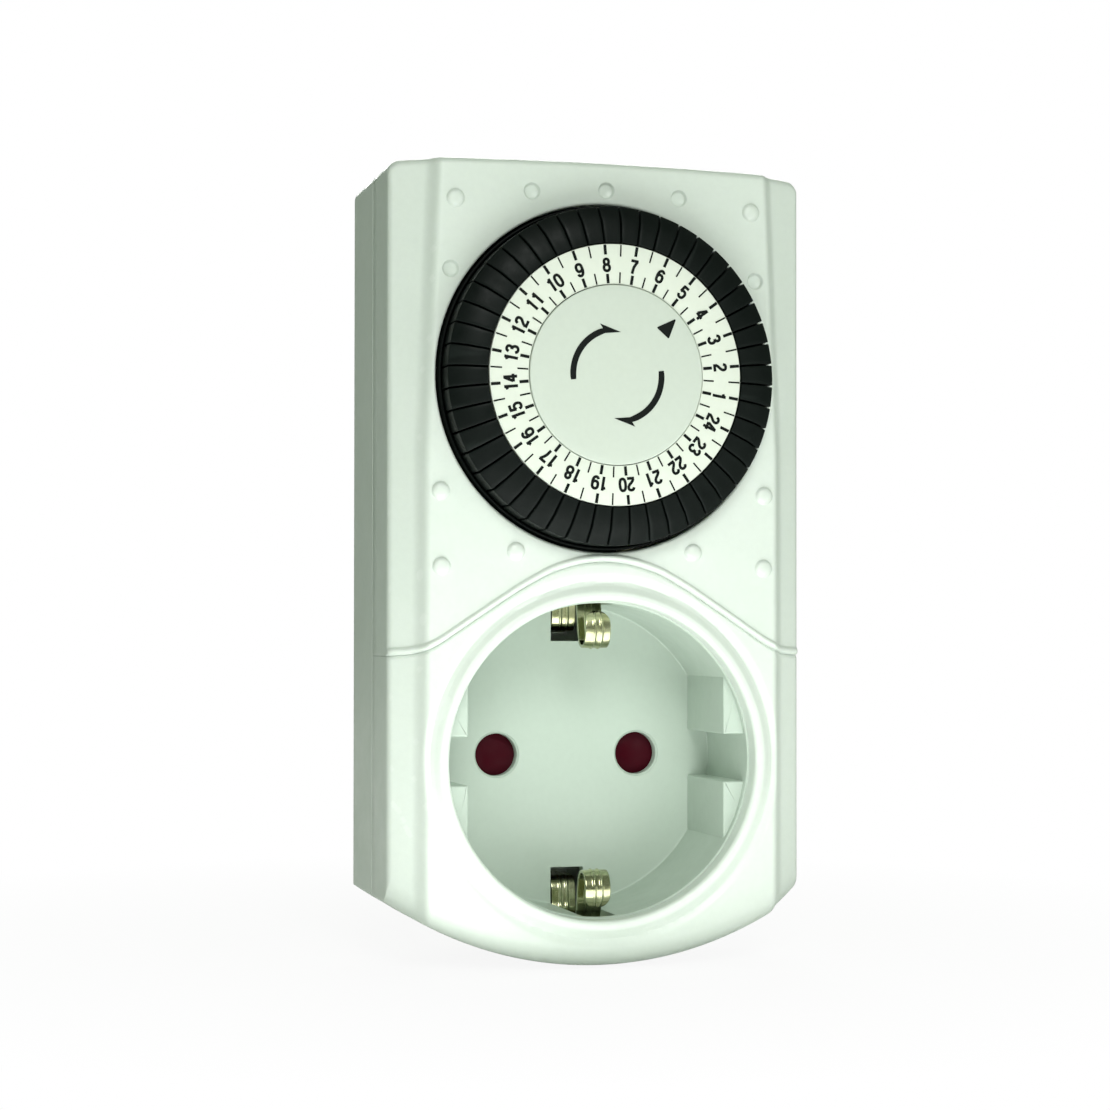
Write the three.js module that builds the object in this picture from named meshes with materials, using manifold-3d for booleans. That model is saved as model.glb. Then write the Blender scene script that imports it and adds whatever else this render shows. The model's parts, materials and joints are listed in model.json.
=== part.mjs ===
// Mechanical 24-hour plug-in timer with an earthed socket outlet.
// Millimetres. +X right, +Y towards the wall, +Z up; the front faces -Y. Dimensions are measured
// from the housing's flat back, on the common axis of the socket and the plug. The group is then
// moved so that its origin is the middle of the plug's flat end face.
import * as THREE from "three";
import { mergeVertices } from "three/addons/utils/BufferGeometryUtils.js";
import Module from "manifold-3d";

const wasm = await Module();
wasm.setup();

// ---------------------------------------------------------------- driving dimensions
const HALF_W = 26.9; // half width of the housing
const PANEL_Y = -25.7; // front panel plane
const RIM_Y = -26.0; // front plane of the socket's raised rim
const SPLIT_Y = -13.0; // parting plane between rear shell and front covers
const SIDE_EDGE_Y = -22.3; // front edge of the side walls, behind the raised centre panel
const TOP_Z = 74.0; // top edge at the corners
const TOP_CROWN = 0.45; // rise of the top edge at the middle
const TOP_R = 1.6; // top corner radius
const BASE_R = 47.0; // radius of the bottom arc
const BASE_CENTRE_Z = 21.4; // height of the bottom arc's centre
const WALL = 2.0; // housing wall thickness
const GAP = 0.3; // gap between neighbouring mouldings

const WELL_R = 19.6; // inner radius of the socket well
const WELL_OUT_R = WELL_R + 1.6;
const WELL_DEPTH = 17.5; // from the rim to the floor
const FLOOR_Y = RIM_Y + WELL_DEPTH; // front face of the well's floor
const FLOOR_T = 1.5;
const PIN_X = 9.5; // half of the 19 mm pin spacing

const BOSS_R = 18.3; // round plug body
const BOSS_LEN = 16.0;
const PIN_R = 2.4; // 4.8 mm pins
const PIN_TIP_Y = BOSS_LEN + 19.0; // 19 mm free pin length

const DIAL_Z = 47.5; // height of the dial axis
const HOURS = 24;
const HOUR_STEP = 360 / HOURS;
const HOUR_PHASE = 5.6; // angle of an hour line, degrees anticlockwise from +X seen from the front

const DIAL_MODULE = 0.6; // gear module of the dial gear and the idler's small wheel
const DIAL_TEETH = 48;
const IDLER_SMALL_TEETH = 12;
const MOTOR_MODULE = 0.5; // gear module of the idler's big wheel and the motor pinion
const IDLER_BIG_TEETH = 36;
const PINION_TEETH = 12;
const IDLER_ANGLE = -54; // direction of the idler from the dial axis, degrees
const PINION_ANGLE = 70; // direction of the motor pinion from the idler, degrees
const [IDLER_X, IDLER_Z] = polar(
  (DIAL_MODULE * (DIAL_TEETH + IDLER_SMALL_TEETH)) / 2,
  IDLER_ANGLE,
  0,
  DIAL_Z,
);
const [PINION_X, PINION_Z] = polar(
  (MOTOR_MODULE * (IDLER_BIG_TEETH + PINION_TEETH)) / 2,
  PINION_ANGLE,
  IDLER_X,
  IDLER_Z,
);
const SHAFT_HOLE_R = 1.1; // clearance hole round the motor shaft

const PLATE_Y0 = -13.2; // front face of the mechanism plate
const PLATE_Y1 = -12.0; // rear face

const SIDES = [1, -1];
const CLEAR = 1; // how far a cutter runs past the face it opens

// ---------------------------------------------------------------- solids
function solid(geometry) {
  geometry.deleteAttribute("normal");
  geometry.deleteAttribute("uv");
  const merged = mergeVertices(geometry, 1e-4);
  return new wasm.Manifold(
    new wasm.Mesh({
      numProp: 3,
      vertProperties: new Float32Array(merged.attributes.position.array),
      triVerts: new Uint32Array(merged.index.array),
    }),
  );
}

function geometryOf(manifold) {
  const mesh = manifold.getMesh();
  const indexed = new THREE.BufferGeometry();
  indexed.setAttribute("position", new THREE.BufferAttribute(mesh.vertProperties, 3));
  indexed.setIndex(new THREE.BufferAttribute(mesh.triVerts, 1));
  const flat = indexed.toNonIndexed();
  flat.computeVertexNormals();
  return flat;
}

const add = (first, ...rest) => rest.reduce((sum, part) => sum.add(part), first);
const cut = (first, ...rest) => rest.reduce((left, part) => left.subtract(part), first);

// The point at a radius and an angle in degrees round (x, z).
function polar(radius, degrees, x = 0, z = 0) {
  const angle = THREE.MathUtils.degToRad(degrees);
  return [x + radius * Math.cos(angle), z + radius * Math.sin(angle)];
}

function extrude(points, depth) {
  const shape = new THREE.Shape(points.map(([u, v]) => new THREE.Vector2(u, v)));
  return new THREE.ExtrudeGeometry(shape, { depth, bevelEnabled: false });
}

// Outline points are [x, z]; the solid runs from y0 to y1.
function prismY(points, y0, y1) {
  const geometry = extrude(points, y1 - y0);
  geometry.rotateX(Math.PI / 2);
  geometry.translate(0, y1, 0);
  return solid(geometry);
}

// Outline points are [y, z]; the solid runs from x0 to x1.
function prismX(points, x0, x1) {
  const geometry = extrude(points, x1 - x0);
  // shape x -> y, shape y -> z, depth -> x
  geometry.applyMatrix4(
    new THREE.Matrix4().set(0, 0, 1, x0, 1, 0, 0, 0, 0, 1, 0, 0, 0, 0, 0, 1),
  );
  return solid(geometry);
}

// A cylinder, or a cone whose radius at y1 is endRadius.
function cylY(radius, y0, y1, segments, x = 0, z = 0, endRadius = radius) {
  const geometry = new THREE.CylinderGeometry(endRadius, radius, y1 - y0, segments);
  geometry.translate(x, (y0 + y1) / 2, z);
  return solid(geometry);
}

function cylX(radius, x0, x1, y, z) {
  const geometry = new THREE.CylinderGeometry(radius, radius, x1 - x0, 12);
  geometry.rotateZ(-Math.PI / 2);
  geometry.translate((x0 + x1) / 2, y, z);
  return solid(geometry);
}

// Each pair of limits may be given in either order.
function box(x0, x1, y0, y1, z0, z1) {
  const geometry = new THREE.BoxGeometry(
    Math.abs(x1 - x0),
    Math.abs(y1 - y0),
    Math.abs(z1 - z0),
  );
  geometry.translate((x0 + x1) / 2, (y0 + y1) / 2, (z0 + z1) / 2);
  return solid(geometry);
}

// Profile points are [radius, y], anticlockwise in the (radius, y) plane. A profile that
// starts off the axis is closed into a loop.
function lathe(profile, segments, x = 0, z = 0) {
  const points = profile.map(([radius, y]) => new THREE.Vector2(radius, y));
  if (points[0].x > 0) points.push(points[0].clone());
  const geometry = new THREE.LatheGeometry(points, segments);
  geometry.translate(x, 0, z);
  return solid(geometry);
}

function ring(inner, outer, y0, y1, segments, x = 0, z = 0) {
  const profile = [[inner, y0], [outer, y0], [outer, y1], [inner, y1]];
  return lathe(profile, segments, x, z);
}

// A strip of constant thickness along a path of [y, z] points, from x0 to x1.
function strip(path, thickness, x0, x1) {
  const left = [];
  const right = [];
  path.forEach(([y, z], i) => {
    const before = path[Math.max(i - 1, 0)];
    const after = path[Math.min(i + 1, path.length - 1)];
    const along = new THREE.Vector2(after[0] - before[0], after[1] - before[1]);
    along.setLength(thickness / 2);
    left.push([y - along.y, z + along.x]);
    right.push([y + along.y, z - along.x]);
  });
  return prismX([...left, ...right.reverse()], x0, x1);
}

// A skin through polygons of [x, y, z] points with equal counts, fan-capped at both ends.
function loft(sections) {
  const count = sections[0].length;
  const last = (sections.length - 1) * count;
  const index = [];
  for (let base = 0; base < last; base += count)
    for (let i = 0; i < count; i++) {
      const here = base + i;
      const next = base + ((i + 1) % count);
      index.push(here, next, next + count, here, next + count, here + count);
    }
  for (let i = 1; i < count - 1; i++)
    index.push(0, i + 1, i, last, last + i, last + i + 1);

  const geometry = new THREE.BufferGeometry();
  const positions = new Float32Array(sections.flat(2));
  geometry.setAttribute("position", new THREE.BufferAttribute(positions, 3));
  geometry.setIndex(index);
  const skin = solid(geometry);
  if (skin.volume() > 0) return skin;
  geometry.setIndex(index.reverse()); // turns every triangle outwards
  return solid(geometry);
}

// A straight-sided gear round (x, z); phase is the angle of a tooth centre in degrees.
function gear(module, teeth, x, z, phase, y0, y1) {
  const pitchR = (module * teeth) / 2;
  const tipR = pitchR + 0.85 * module;
  const rootR = pitchR - 1.1 * module;
  // corners of one tooth: [offset from its centre in tooth pitches, radius]
  const tooth = [[-0.34, rootR], [-0.1, tipR], [0.1, tipR], [0.34, rootR]];
  const points = [];
  for (let i = 0; i < teeth; i++)
    for (const [offset, radius] of tooth)
      points.push(polar(radius, phase + ((i + offset) * 360) / teeth, x, z));
  return prismY(points, y0, y1);
}

// A wire through [x, y, z] points.
function wire(points, radius, steps) {
  const shape = new THREE.Shape();
  shape.absarc(0, 0, radius, 0, 2 * Math.PI, false);
  const geometry = new THREE.ExtrudeGeometry(shape, {
    steps,
    curveSegments: 2,
    extrudePath: new THREE.CatmullRomCurve3(points.map((p) => new THREE.Vector3(...p))),
    bevelEnabled: false,
  });
  return solid(geometry);
}

// ---------------------------------------------------------------- group and materials
const timer = new THREE.Group();
timer.name = "plug_in_timer";
timer.position.y = -BOSS_LEN;

const MATERIALS = {
  shell: { color: 0xdfe8df, roughness: 0.42, metalness: 0 },
  white: { color: 0xe9ece2, roughness: 0.45, metalness: 0 },
  black: { color: 0x141817, roughness: 0.5, metalness: 0 },
  maroon: { color: 0x4a0613, roughness: 0.45, metalness: 0 },
  nickel: { color: 0xb9b8a8, roughness: 0.28, metalness: 1 },
  brass: { color: 0xb8954f, roughness: 0.32, metalness: 1 },
  steel: { color: 0x9a9c9e, roughness: 0.35, metalness: 1 },
  acetal: { color: 0xe8e4d2, roughness: 0.5, metalness: 0 },
  plate: { color: 0x2c2f31, roughness: 0.6, metalness: 0 },
  copper: { color: 0xa3532b, roughness: 0.4, metalness: 0.8 },
  magnet: { color: 0x2a2a2c, roughness: 0.6, metalness: 0.2 },
  wireBlue: { color: 0x23479c, roughness: 0.5, metalness: 0 },
  wireBrown: { color: 0x5b3220, roughness: 0.5, metalness: 0 },
};

function put(name, manifold, material) {
  const surface = new THREE.MeshStandardMaterial(MATERIALS[material]);
  const mesh = new THREE.Mesh(geometryOf(manifold), surface);
  mesh.name = name;
  timer.add(mesh);
}

// ---------------------------------------------------------------- housing outline
// Housing outline as [x, z] points, pulled in by `inset`.
function outline(inset) {
  const halfW = HALF_W - inset;
  const baseR = BASE_R - inset;
  const cornerR = Math.max(TOP_R - inset, 0.6);
  const cornerX = halfW - cornerR;
  const top = TOP_Z - inset;
  const edge = Math.asin(halfW / baseR);
  const points = [];
  const addCorner = (x, start) => {
    for (let i = 0; i <= 4; i++)
      points.push(polar(cornerR, start + (90 * i) / 4, x, top - cornerR));
  };
  for (let i = 0; i <= 14; i++) {
    const angle = -edge + (2 * edge * i) / 14;
    points.push([baseR * Math.sin(angle), BASE_CENTRE_Z - baseR * Math.cos(angle)]);
  }
  addCorner(cornerX, 0);
  for (let i = 1; i < 6; i++) {
    const x = cornerX * (1 - (2 * i) / 6);
    points.push([x, top + TOP_CROWN * (1 - (x / cornerX) ** 2)]);
  }
  addCorner(-cornerX, 90);
  return points;
}

// Seam between the two front covers, right half: [x, z].
const SEAM = [
  [0, 24.9], [3.2, 24.55], [7.0, 23.4], [10.9, 21.25], [14.9, 18.65],
  [18.9, 16.0], [21.6, 14.2], [24.0, 13.3], [29.0, 13.0],
];

// The space below the seam, with the seam shifted in z by `offset`.
function belowSeam(offset) {
  const right = SEAM.slice(1).reverse();
  const points = [
    [-29, -40],
    [29, -40],
    ...right.map(([x, z]) => [x, z + offset]),
    ...SEAM.map(([x, z]) => [-x, z + offset]),
  ];
  return prismY(points, PANEL_Y - CLEAR, SPLIT_Y + CLEAR);
}

// Housing screws: name, x, z.
const TOP_SCREWS = [
  ["screw_top_left", -21.6, 69.2],
  ["screw_top_right", 21.6, 69.2],
];
const BOTTOM_SCREWS = [
  ["screw_bottom_left", -21.5, -14.3],
  ["screw_bottom_right", 21.5, -14.3],
];
const SCREWS = [...TOP_SCREWS, ...BOTTOM_SCREWS];

// ---------------------------------------------------------------- front covers
// Cutter for a side strip: the centre panel stands proud of the housing's side edges.
function sideRelief(side) {
  const outX = HALF_W + 1.6;
  const frontY = PANEL_Y - 2.2;
  const section = (panelX, z) =>
    [
      [panelX - 1.1, frontY],
      [panelX - 1.1, PANEL_Y],
      [panelX, PANEL_Y + 1.5],
      [HALF_W, SIDE_EDGE_Y],
      [outX, SIDE_EDGE_Y + 0.8],
      [outX, frontY],
    ].map(([x, y]) => [side * x, y, z]);
  // the panel narrows towards the top
  return loft([section(23.7, -30), section(23.7, 38), section(22.1, 76)]);
}

// Both front covers in one, before the seam divides them.
function frontBlock() {
  const cavityFrontY = SIDE_EDGE_Y + 1.1;
  const pocketHalfW = 21.4; // the shallower pocket behind the centre panel
  const pocket = outline(WALL)
    .map(([x, z]) => [Math.max(-pocketHalfW, Math.min(pocketHalfW, x)), z])
    .filter(
      // clamping can make neighbouring points coincide
      ([x, z], i, all) => i === 0 || Math.hypot(x - all[i - 1][0], z - all[i - 1][1]) > 1e-6,
    );
  return cut(
    prismY(outline(0), PANEL_Y, SPLIT_Y - GAP),
    add(
      prismY(outline(WALL), cavityFrontY, SPLIT_Y + CLEAR),
      prismY(pocket, PANEL_Y + WALL, cavityFrontY + CLEAR),
    ),
    ...SIDES.map(sideRelief),
  );
}

function withScrewPosts(cover, screws, postR) {
  for (const [, x, z] of screws) {
    const post = cylY(postR, SIDE_EDGE_Y + 0.6, SPLIT_Y - GAP, 14, x, z);
    const pilot = cylY(1.3, -20.6, SPLIT_Y + CLEAR, 10, x, z);
    cover = cut(add(cover, post), pilot);
  }
  return cover;
}

// Small raised domes on the panel, right side of each mirrored pair: [x, z].
const DOMES = [[19.2, 69.1], [21.0, 33.2], [11.4, 25.9], [20.9, 24.0]];
const DOME_PROFILE = [
  [0, PANEL_Y - 0.45], [0.55, PANEL_Y - 0.36], [1.0, PANEL_Y],
  [1.0, PANEL_Y + 0.6], [0, PANEL_Y + 0.6],
];
// Small tapered pits in the panel: [x, z].
const DIMPLES = [[-9.5, 70.4], [0.1, 70.9], [9.6, 70.4], [-19.8, 60.4], [19.8, 60.4]];

// The panel round the dial.
function upperCover() {
  const dialHoleR = 21.65;
  const cover = cut(
    frontBlock(),
    belowSeam(0),
    cylY(dialHoleR, PANEL_Y - CLEAR, SIDE_EDGE_Y + 1.4, 48, 0, DIAL_Z),
  );
  const domes = SIDES.flatMap((side) =>
    DOMES.map(([x, z]) => lathe(DOME_PROFILE, 8, side * x, z)),
  );
  const dimples = DIMPLES.map(([x, z]) =>
    cylY(1.0, PANEL_Y - 1, PANEL_Y + 0.35, 8, x, z, 0.6),
  );
  return cut(add(withScrewPosts(cover, TOP_SCREWS, 2.7), ...domes), ...dimples);
}
put("upper_front_cover", upperCover(), "shell");

// The panel with the raised rim round the socket opening.
function lowerCover() {
  const openingR = 19.84;
  const rimOutR = 21.8;
  const rim = lathe(
    [
      [openingR - 1, PANEL_Y + 1],
      [openingR - 1, RIM_Y],
      [openingR + 0.8, RIM_Y],
      [rimOutR - 0.5, RIM_Y + 0.1],
      [rimOutR, PANEL_Y],
      [rimOutR, PANEL_Y + 1],
    ],
    44,
  );
  const cover = cut(
    add(frontBlock().intersect(belowSeam(-GAP)), rim),
    cylY(openingR, RIM_Y - CLEAR, PANEL_Y + WALL + CLEAR, 44),
  );
  return withScrewPosts(cover, BOTTOM_SCREWS, 2.6);
}
put("lower_front_cover", lowerCover(), "shell");

// ---------------------------------------------------------------- rear shell
// Posts behind the mechanism plate: [x, z].
const PLATE_POSTS = [[-20.0, 60.0], [21.8, 33.5], [-20.0, 29.0]];

// Rear shell with the round plug body.
function rearHousing() {
  const chamfer = 0.8; // at the plug body's end
  const chamferY = BOSS_LEN - chamfer;
  let rear = add(
    cut(
      prismY(outline(0), SPLIT_Y, 0),
      prismY(outline(WALL), SPLIT_Y - CLEAR, -WALL),
    ),
    cylY(BOSS_R, -WALL, chamferY, 48),
    cylY(BOSS_R, chamferY, BOSS_LEN, 48, 0, 0, BOSS_R - chamfer),
  );
  rear = cut(rear, cylY(14.6, -WALL - CLEAR, BOSS_LEN - 3, 36));
  for (const side of SIDES)
    rear = cut(
      rear,
      // flat on the left or right of the plug body
      box(side * 16.4, side * 22, 0.0001, BOSS_LEN + CLEAR, -10.9, 10.9),
      // slot and groove for the earth spring
      box(-1.85, 1.85, -WALL - CLEAR, 0.4, side * 15.8, side * 17.1),
      box(-2.6, 2.6, 0.1, 13.2, side * 15.7, side * 19.5),
      cylY(PIN_R + 0.05, BOSS_LEN - 4, BOSS_LEN + CLEAR, 16, side * PIN_X),
    );
  for (const [, x, z] of SCREWS)
    rear = cut(
      add(
        rear,
        cylY(3.6, -6.2, -WALL + 0.5, 14, x, z),
        cylY(2.7, SPLIT_Y, -6, 14, x, z),
      ),
      cylY(1.6, SPLIT_Y - CLEAR, CLEAR, 10, x, z),
      cylY(2.9, -2.4, CLEAR, 14, x, z), // recess for the screw head
    );
  const posts = PLATE_POSTS.map(([x, z]) => cylY(1.8, PLATE_Y1 + 0.1, -WALL + 0.5, 10, x, z));
  return add(rear, ...posts);
}
put("rear_housing", rearHousing(), "shell");

// ---------------------------------------------------------------- socket
// Guide key against the well's wall.
function guideKey(sideX, sideZ) {
  const frontY = -22.5;
  const innerX = 16.7;
  const block = box(
    sideX * innerX,
    sideX * (WELL_R + 0.8),
    frontY,
    FLOOR_Y + 0.5,
    sideZ * 3.0,
    sideZ * 10.3,
  );
  return block.intersect(cylY(WELL_R + 0.6, frontY - CLEAR, FLOOR_Y + 1, 44));
}

function socketWell() {
  const pinHoleR = 2.75;
  const slotHalfW = 2.2; // earth slots
  const slotZ = 14.77; // inner end of the slot in the floor
  const wallSlotZ = 18.4;
  const outZ = 24; // beyond the well's wall
  const backY = FLOOR_Y + FLOOR_T;
  let well = add(
    ring(WELL_R, WELL_OUT_R, PANEL_Y + WALL + GAP, backY, 44),
    cylY(WELL_OUT_R, FLOOR_Y, backY, 44),
    ...SIDES.flatMap((sideX) => SIDES.map((sideZ) => guideKey(sideX, sideZ))),
    cylY(1.5, FLOOR_Y + 1, -3.0, 12), // stud for the shutter
  );
  for (const side of SIDES)
    well = cut(
      well,
      cylY(pinHoleR, FLOOR_Y - 2, FLOOR_Y + 3, 20, side * PIN_X),
      box(-slotHalfW, slotHalfW, FLOOR_Y - 0.01, FLOOR_Y + 3, side * slotZ, side * outZ),
      box(-slotHalfW, slotHalfW, RIM_Y + 2.9, FLOOR_Y + 3, side * wallSlotZ, side * outZ),
    );
  return well;
}
put("socket_well", socketWell(), "shell");

// Earth contacts: sprung nickel-plated strips from the socket to the plug body.
// Centre line of the upper strip: [y, z].
const EARTH_PATH = [
  [-21.6, 18.6], [-22.35, 17.6], [-22.6, 16.2], [-22.15, 14.9], [-21.2, 14.2],
  [-20.1, 14.25], [-19.3, 15.1], [-18.8, 16.8], [-18.5, 18.8], [-17.9, 20.3],
  [-16.8, 20.9], [-8.6, 20.9], [-7.5, 20.5], [-7.0, 19.6], [-6.8, 17.6],
  [-6.2, 16.6], [-5.2, 16.3], [-0.4, 16.3], [0.9, 17.1], [2.2, 17.65], [12.6, 17.75],
];
function earthSpring(side) {
  const path = EARTH_PATH.map(([y, z]) => [y, side * z]);
  return strip(path, 0.5, -1.65, 1.65);
}
put("earth_spring_upper", earthSpring(1), "nickel");
put("earth_spring_lower", earthSpring(-1), "nickel");

// Plug pin with its collar: [radius, y].
const PIN_PROFILE = [
  [0, 11.2], [3.3, 11.2], [3.3, 12.8], [PIN_R, 12.8], [PIN_R, PIN_TIP_Y - 1.7],
  [2.0, PIN_TIP_Y - 0.6], [1.2, PIN_TIP_Y], [0, PIN_TIP_Y],
];
put("plug_pin_live", lathe(PIN_PROFILE, 16, -PIN_X), "nickel");
put("plug_pin_neutral", lathe(PIN_PROFILE, 16, PIN_X), "nickel");

// Slit sleeve with a flared mouth, behind the well's floor: [radius, y].
const SLEEVE_PROFILE = [
  [2.5, -3.9], [3.05, -4.9], [3.5, -4.9], [3.05, -3.7], [3.05, 10.0], [2.5, 10.0],
];
// The tab is a box given as y0, y1, z0, z1.
function socketContact(x, tab) {
  const sleeve = cut(lathe(SLEEVE_PROFILE, 16, x), box(x - 0.5, x + 0.5, -6, 7.5, -4, -1));
  return add(sleeve, box(x - 1.4, x + 1.4, ...tab));
}
put("socket_contact_neutral", socketContact(PIN_X, [9.6, 10.9, -3.2, 3.2]), "brass");
put("socket_contact_live", socketContact(-PIN_X, [-3.6, -1.6, 2.8, 6.2]), "brass");

// Shutter that closes both pin holes, turning on the stud behind the well's floor: [x, z].
const SHUTTER_OUTLINE = [
  [-12.9, -2.0], [-11.6, -3.3], [-6.6, -3.3], [-3.2, -3.2], [3.2, -3.2], [6.6, -3.3],
  [11.6, -3.3], [12.9, -2.0], [12.9, 2.0], [11.6, 3.3], [-11.6, 3.3], [-12.9, 2.0],
];
function shutter() {
  const frontY = -6.7;
  const backY = -5.4;
  return cut(
    add(prismY(SHUTTER_OUTLINE, frontY, backY), cylY(3.6, frontY, backY + 0.3, 16)),
    cylY(1.65, -8, -4, 16),
  );
}
put("shutter", shutter(), "maroon");

function shutterSpring() {
  const turns = 2.25;
  const coilR = 2.25;
  const startY = -4.75;
  const length = 1.5;
  const endY = startY + length;
  const points = [];
  for (let i = 0; i <= 40; i++) {
    const [x, z] = polar(coilR, (i / 40) * 360 * turns);
    points.push([x, startY + (i / 40) * length, z]);
  }
  return wire([...points, [0.5, endY, 4.6], [0.6, endY, 6.4]], 0.22, 34);
}
put("shutter_spring", shutterSpring(), "steel");

// ---------------------------------------------------------------- dial
const RING_FACE_Y = -30.35; // face of the number ring
const WEB_Y0 = -22.6; // the dial wheel's web, front and rear
const WEB_Y1 = -21.6;
const DIAL_GEAR_Y0 = -18.8;
const DIAL_GEAR_Y1 = -17.2;

const dialRing = (inner, outer, y0, y1, segments) =>
  ring(inner, outer, y0, y1, segments, 0, DIAL_Z);

// A straight-edged sector prism round the dial axis.
function sector(middle, halfAngle, inner, outer, y0, y1) {
  const corners = [[outer, -1], [outer, 1], [inner, 1], [inner, -1]];
  const points = corners.map(([radius, side]) =>
    polar(radius, middle + side * halfAngle, 0, DIAL_Z),
  );
  return prismY(points, y0, y1);
}

function dialWheel() {
  const collarInR = 21.05; // rim wall round the tappets
  const collarOutR = 21.35;
  const drumR = 16.05;
  const halfPitch = 180 / DIAL_TEETH; // puts a tooth gap towards the idler
  const dialGear = gear(
    DIAL_MODULE,
    DIAL_TEETH,
    0,
    DIAL_Z,
    IDLER_ANGLE + halfPitch,
    DIAL_GEAR_Y0,
    DIAL_GEAR_Y1,
  );
  let wheel = add(
    dialRing(2.1, drumR, RING_FACE_Y + 0.95, RING_FACE_Y + 1.95, 36), // face
    dialRing(2.1, 4.0, RING_FACE_Y + 1.2, DIAL_GEAR_Y1, 20), // hub
    dialRing(15.4, drumR, RING_FACE_Y + 1.2, -22.0, 36), // drum
    dialRing(3.5, collarOutR, WEB_Y0, WEB_Y1, 44), // web
    dialRing(collarInR, collarOutR, -25.9, -22.0, 44), // collar
    dialRing(3.5, 10.0, -22.0, -18.2, 20),
    cut(dialGear, cylY(3.6, -20, -16, 20, 0, DIAL_Z)),
  );
  for (let i = 0; i < HOURS; i++) {
    const middle = HOUR_PHASE + HOUR_STEP * (i + 0.5); // slot for a tappet's foot
    wheel = cut(wheel, sector(middle, 5.6, 17.9, 20.7, WEB_Y0 - CLEAR, WEB_Y1 + CLEAR));
  }
  for (let i = 0; i < 6; i++) {
    const [x, z] = polar(12.6, 60 * i + 20, 0, DIAL_Z); // lightening holes
    wheel = cut(wheel, cylY(2.0, WEB_Y0 - CLEAR, WEB_Y1 + CLEAR, 12, x, z));
  }
  return wheel;
}
put("dial_wheel", dialWheel(), "black");
put("number_ring", dialRing(11.15, 16.07, RING_FACE_Y, RING_FACE_Y + 0.8, 44), "white");

const DISC_PROFILE = [[0, -30.6], [10.75, -30.6], [10.95, -30.4], [10.95, -29.75], [0, -29.75]];
put("centre_disc", lathe(DISC_PROFILE, 40, 0, DIAL_Z), "white");

const SPINDLE_PROFILE = [
  [0, -29.55], [2.0, -29.55], [2.0, -17.0], [3.2, -17.0], [3.2, PLATE_Y0 - 0.05],
  [1.5, PLATE_Y0 - 0.05], [1.5, -11.9], [0, -11.9],
];
put("centre_spindle", lathe(SPINDLE_PROFILE, 16, 0, DIAL_Z), "steel");

// Switching tappets: one mesh per hour, two half-hour segments on a common foot.
const TAPPET_BACK_Y = -25.3;
// Section of a segment, with a chamfered outer front edge: [radius, y].
const TAPPET_PROFILE = [
  [16.25, TAPPET_BACK_Y], [16.25, -30.5], [19.0, -30.05], [20.9, -28.95], [20.9, TAPPET_BACK_Y],
];
function tappetSegment(start, end) {
  const halfGap = 0.17; // the gap between segments has a constant width
  const face = (angle, side) =>
    TAPPET_PROFILE.map(([radius, y]) => {
      const trim = THREE.MathUtils.radToDeg(halfGap / radius);
      const [x, z] = polar(radius, angle + side * trim, 0, DIAL_Z);
      return [x, y, z];
    });
  return loft([face(start, 1), face(end, -1)]);
}
function tappet(start) {
  const middle = start + HOUR_STEP / 2;
  return add(
    tappetSegment(start, middle),
    tappetSegment(middle, start + HOUR_STEP),
    sector(middle, 4.5, 16.6, 20.6, TAPPET_BACK_Y - 0.9, TAPPET_BACK_Y - 0.1),
    sector(middle, 4.9, 18.2, 20.4, TAPPET_BACK_Y - 0.5, -21.2),
  );
}
for (let i = 0; i < HOURS; i++) {
  const hour = ((i + 1) % HOURS) + 1; // the segment pair that follows this hour line
  const name = "tappet_" + String(hour).padStart(2, "0");
  put(name, tappet(HOUR_PHASE + HOUR_STEP * i), "black");
}

// ---------------------------------------------------------------- gear train
function idlerGear() {
  const toDial = IDLER_ANGLE + 180; // a tooth of the small wheel points at the dial axis
  const small = [DIAL_MODULE, IDLER_SMALL_TEETH, IDLER_X, IDLER_Z, toDial];
  const big = [MOTOR_MODULE, IDLER_BIG_TEETH, IDLER_X, IDLER_Z, PINION_ANGLE];
  return cut(
    add(gear(...small, DIAL_GEAR_Y0, -16.5), gear(...big, -16.6, -15.2)),
    cylY(0.9, -20, -14, 12, IDLER_X, IDLER_Z),
  );
}
put("idler_gear", idlerGear(), "acetal");

const idlerAxle = add(
  cylY(0.8, -18.95, PLATE_Y1 - 0.1, 12, IDLER_X, IDLER_Z),
  cylY(1.3, -14.9, PLATE_Y0 - 0.1, 12, IDLER_X, IDLER_Z),
);
put("idler_axle", idlerAxle, "steel");

function motorPinion() {
  const phase = PINION_ANGLE + 180 + 180 / PINION_TEETH; // a tooth gap faces the idler
  return add(
    gear(MOTOR_MODULE, PINION_TEETH, PINION_X, PINION_Z, phase, -16.8, -14.9),
    cylY(0.9, -15, -10.9, 12, PINION_X, PINION_Z),
  );
}
put("motor_pinion", motorPinion(), "brass");

// ---------------------------------------------------------------- plate and switch
const LEVER_X = -12.25;
const PIVOT_Y = -16.0;
const PIVOT_Z = 24.8;
const NOSE_Z = 32.59;
const CONTACT_Z = 26.4; // height of both contact buttons

// Mechanism plate: [x, z].
const PLATE_OUTLINE = [
  [-24.3, 23.4], [24.3, 23.4], [24.3, 66.0], [18.4, 66.0],
  [18.4, 71.6], [-18.4, 71.6], [-18.4, 66.0], [-24.3, 66.0],
];
const pivotBore = () => cylX(0.66, -17, -7.5, PIVOT_Y, PIVOT_Z);

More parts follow.
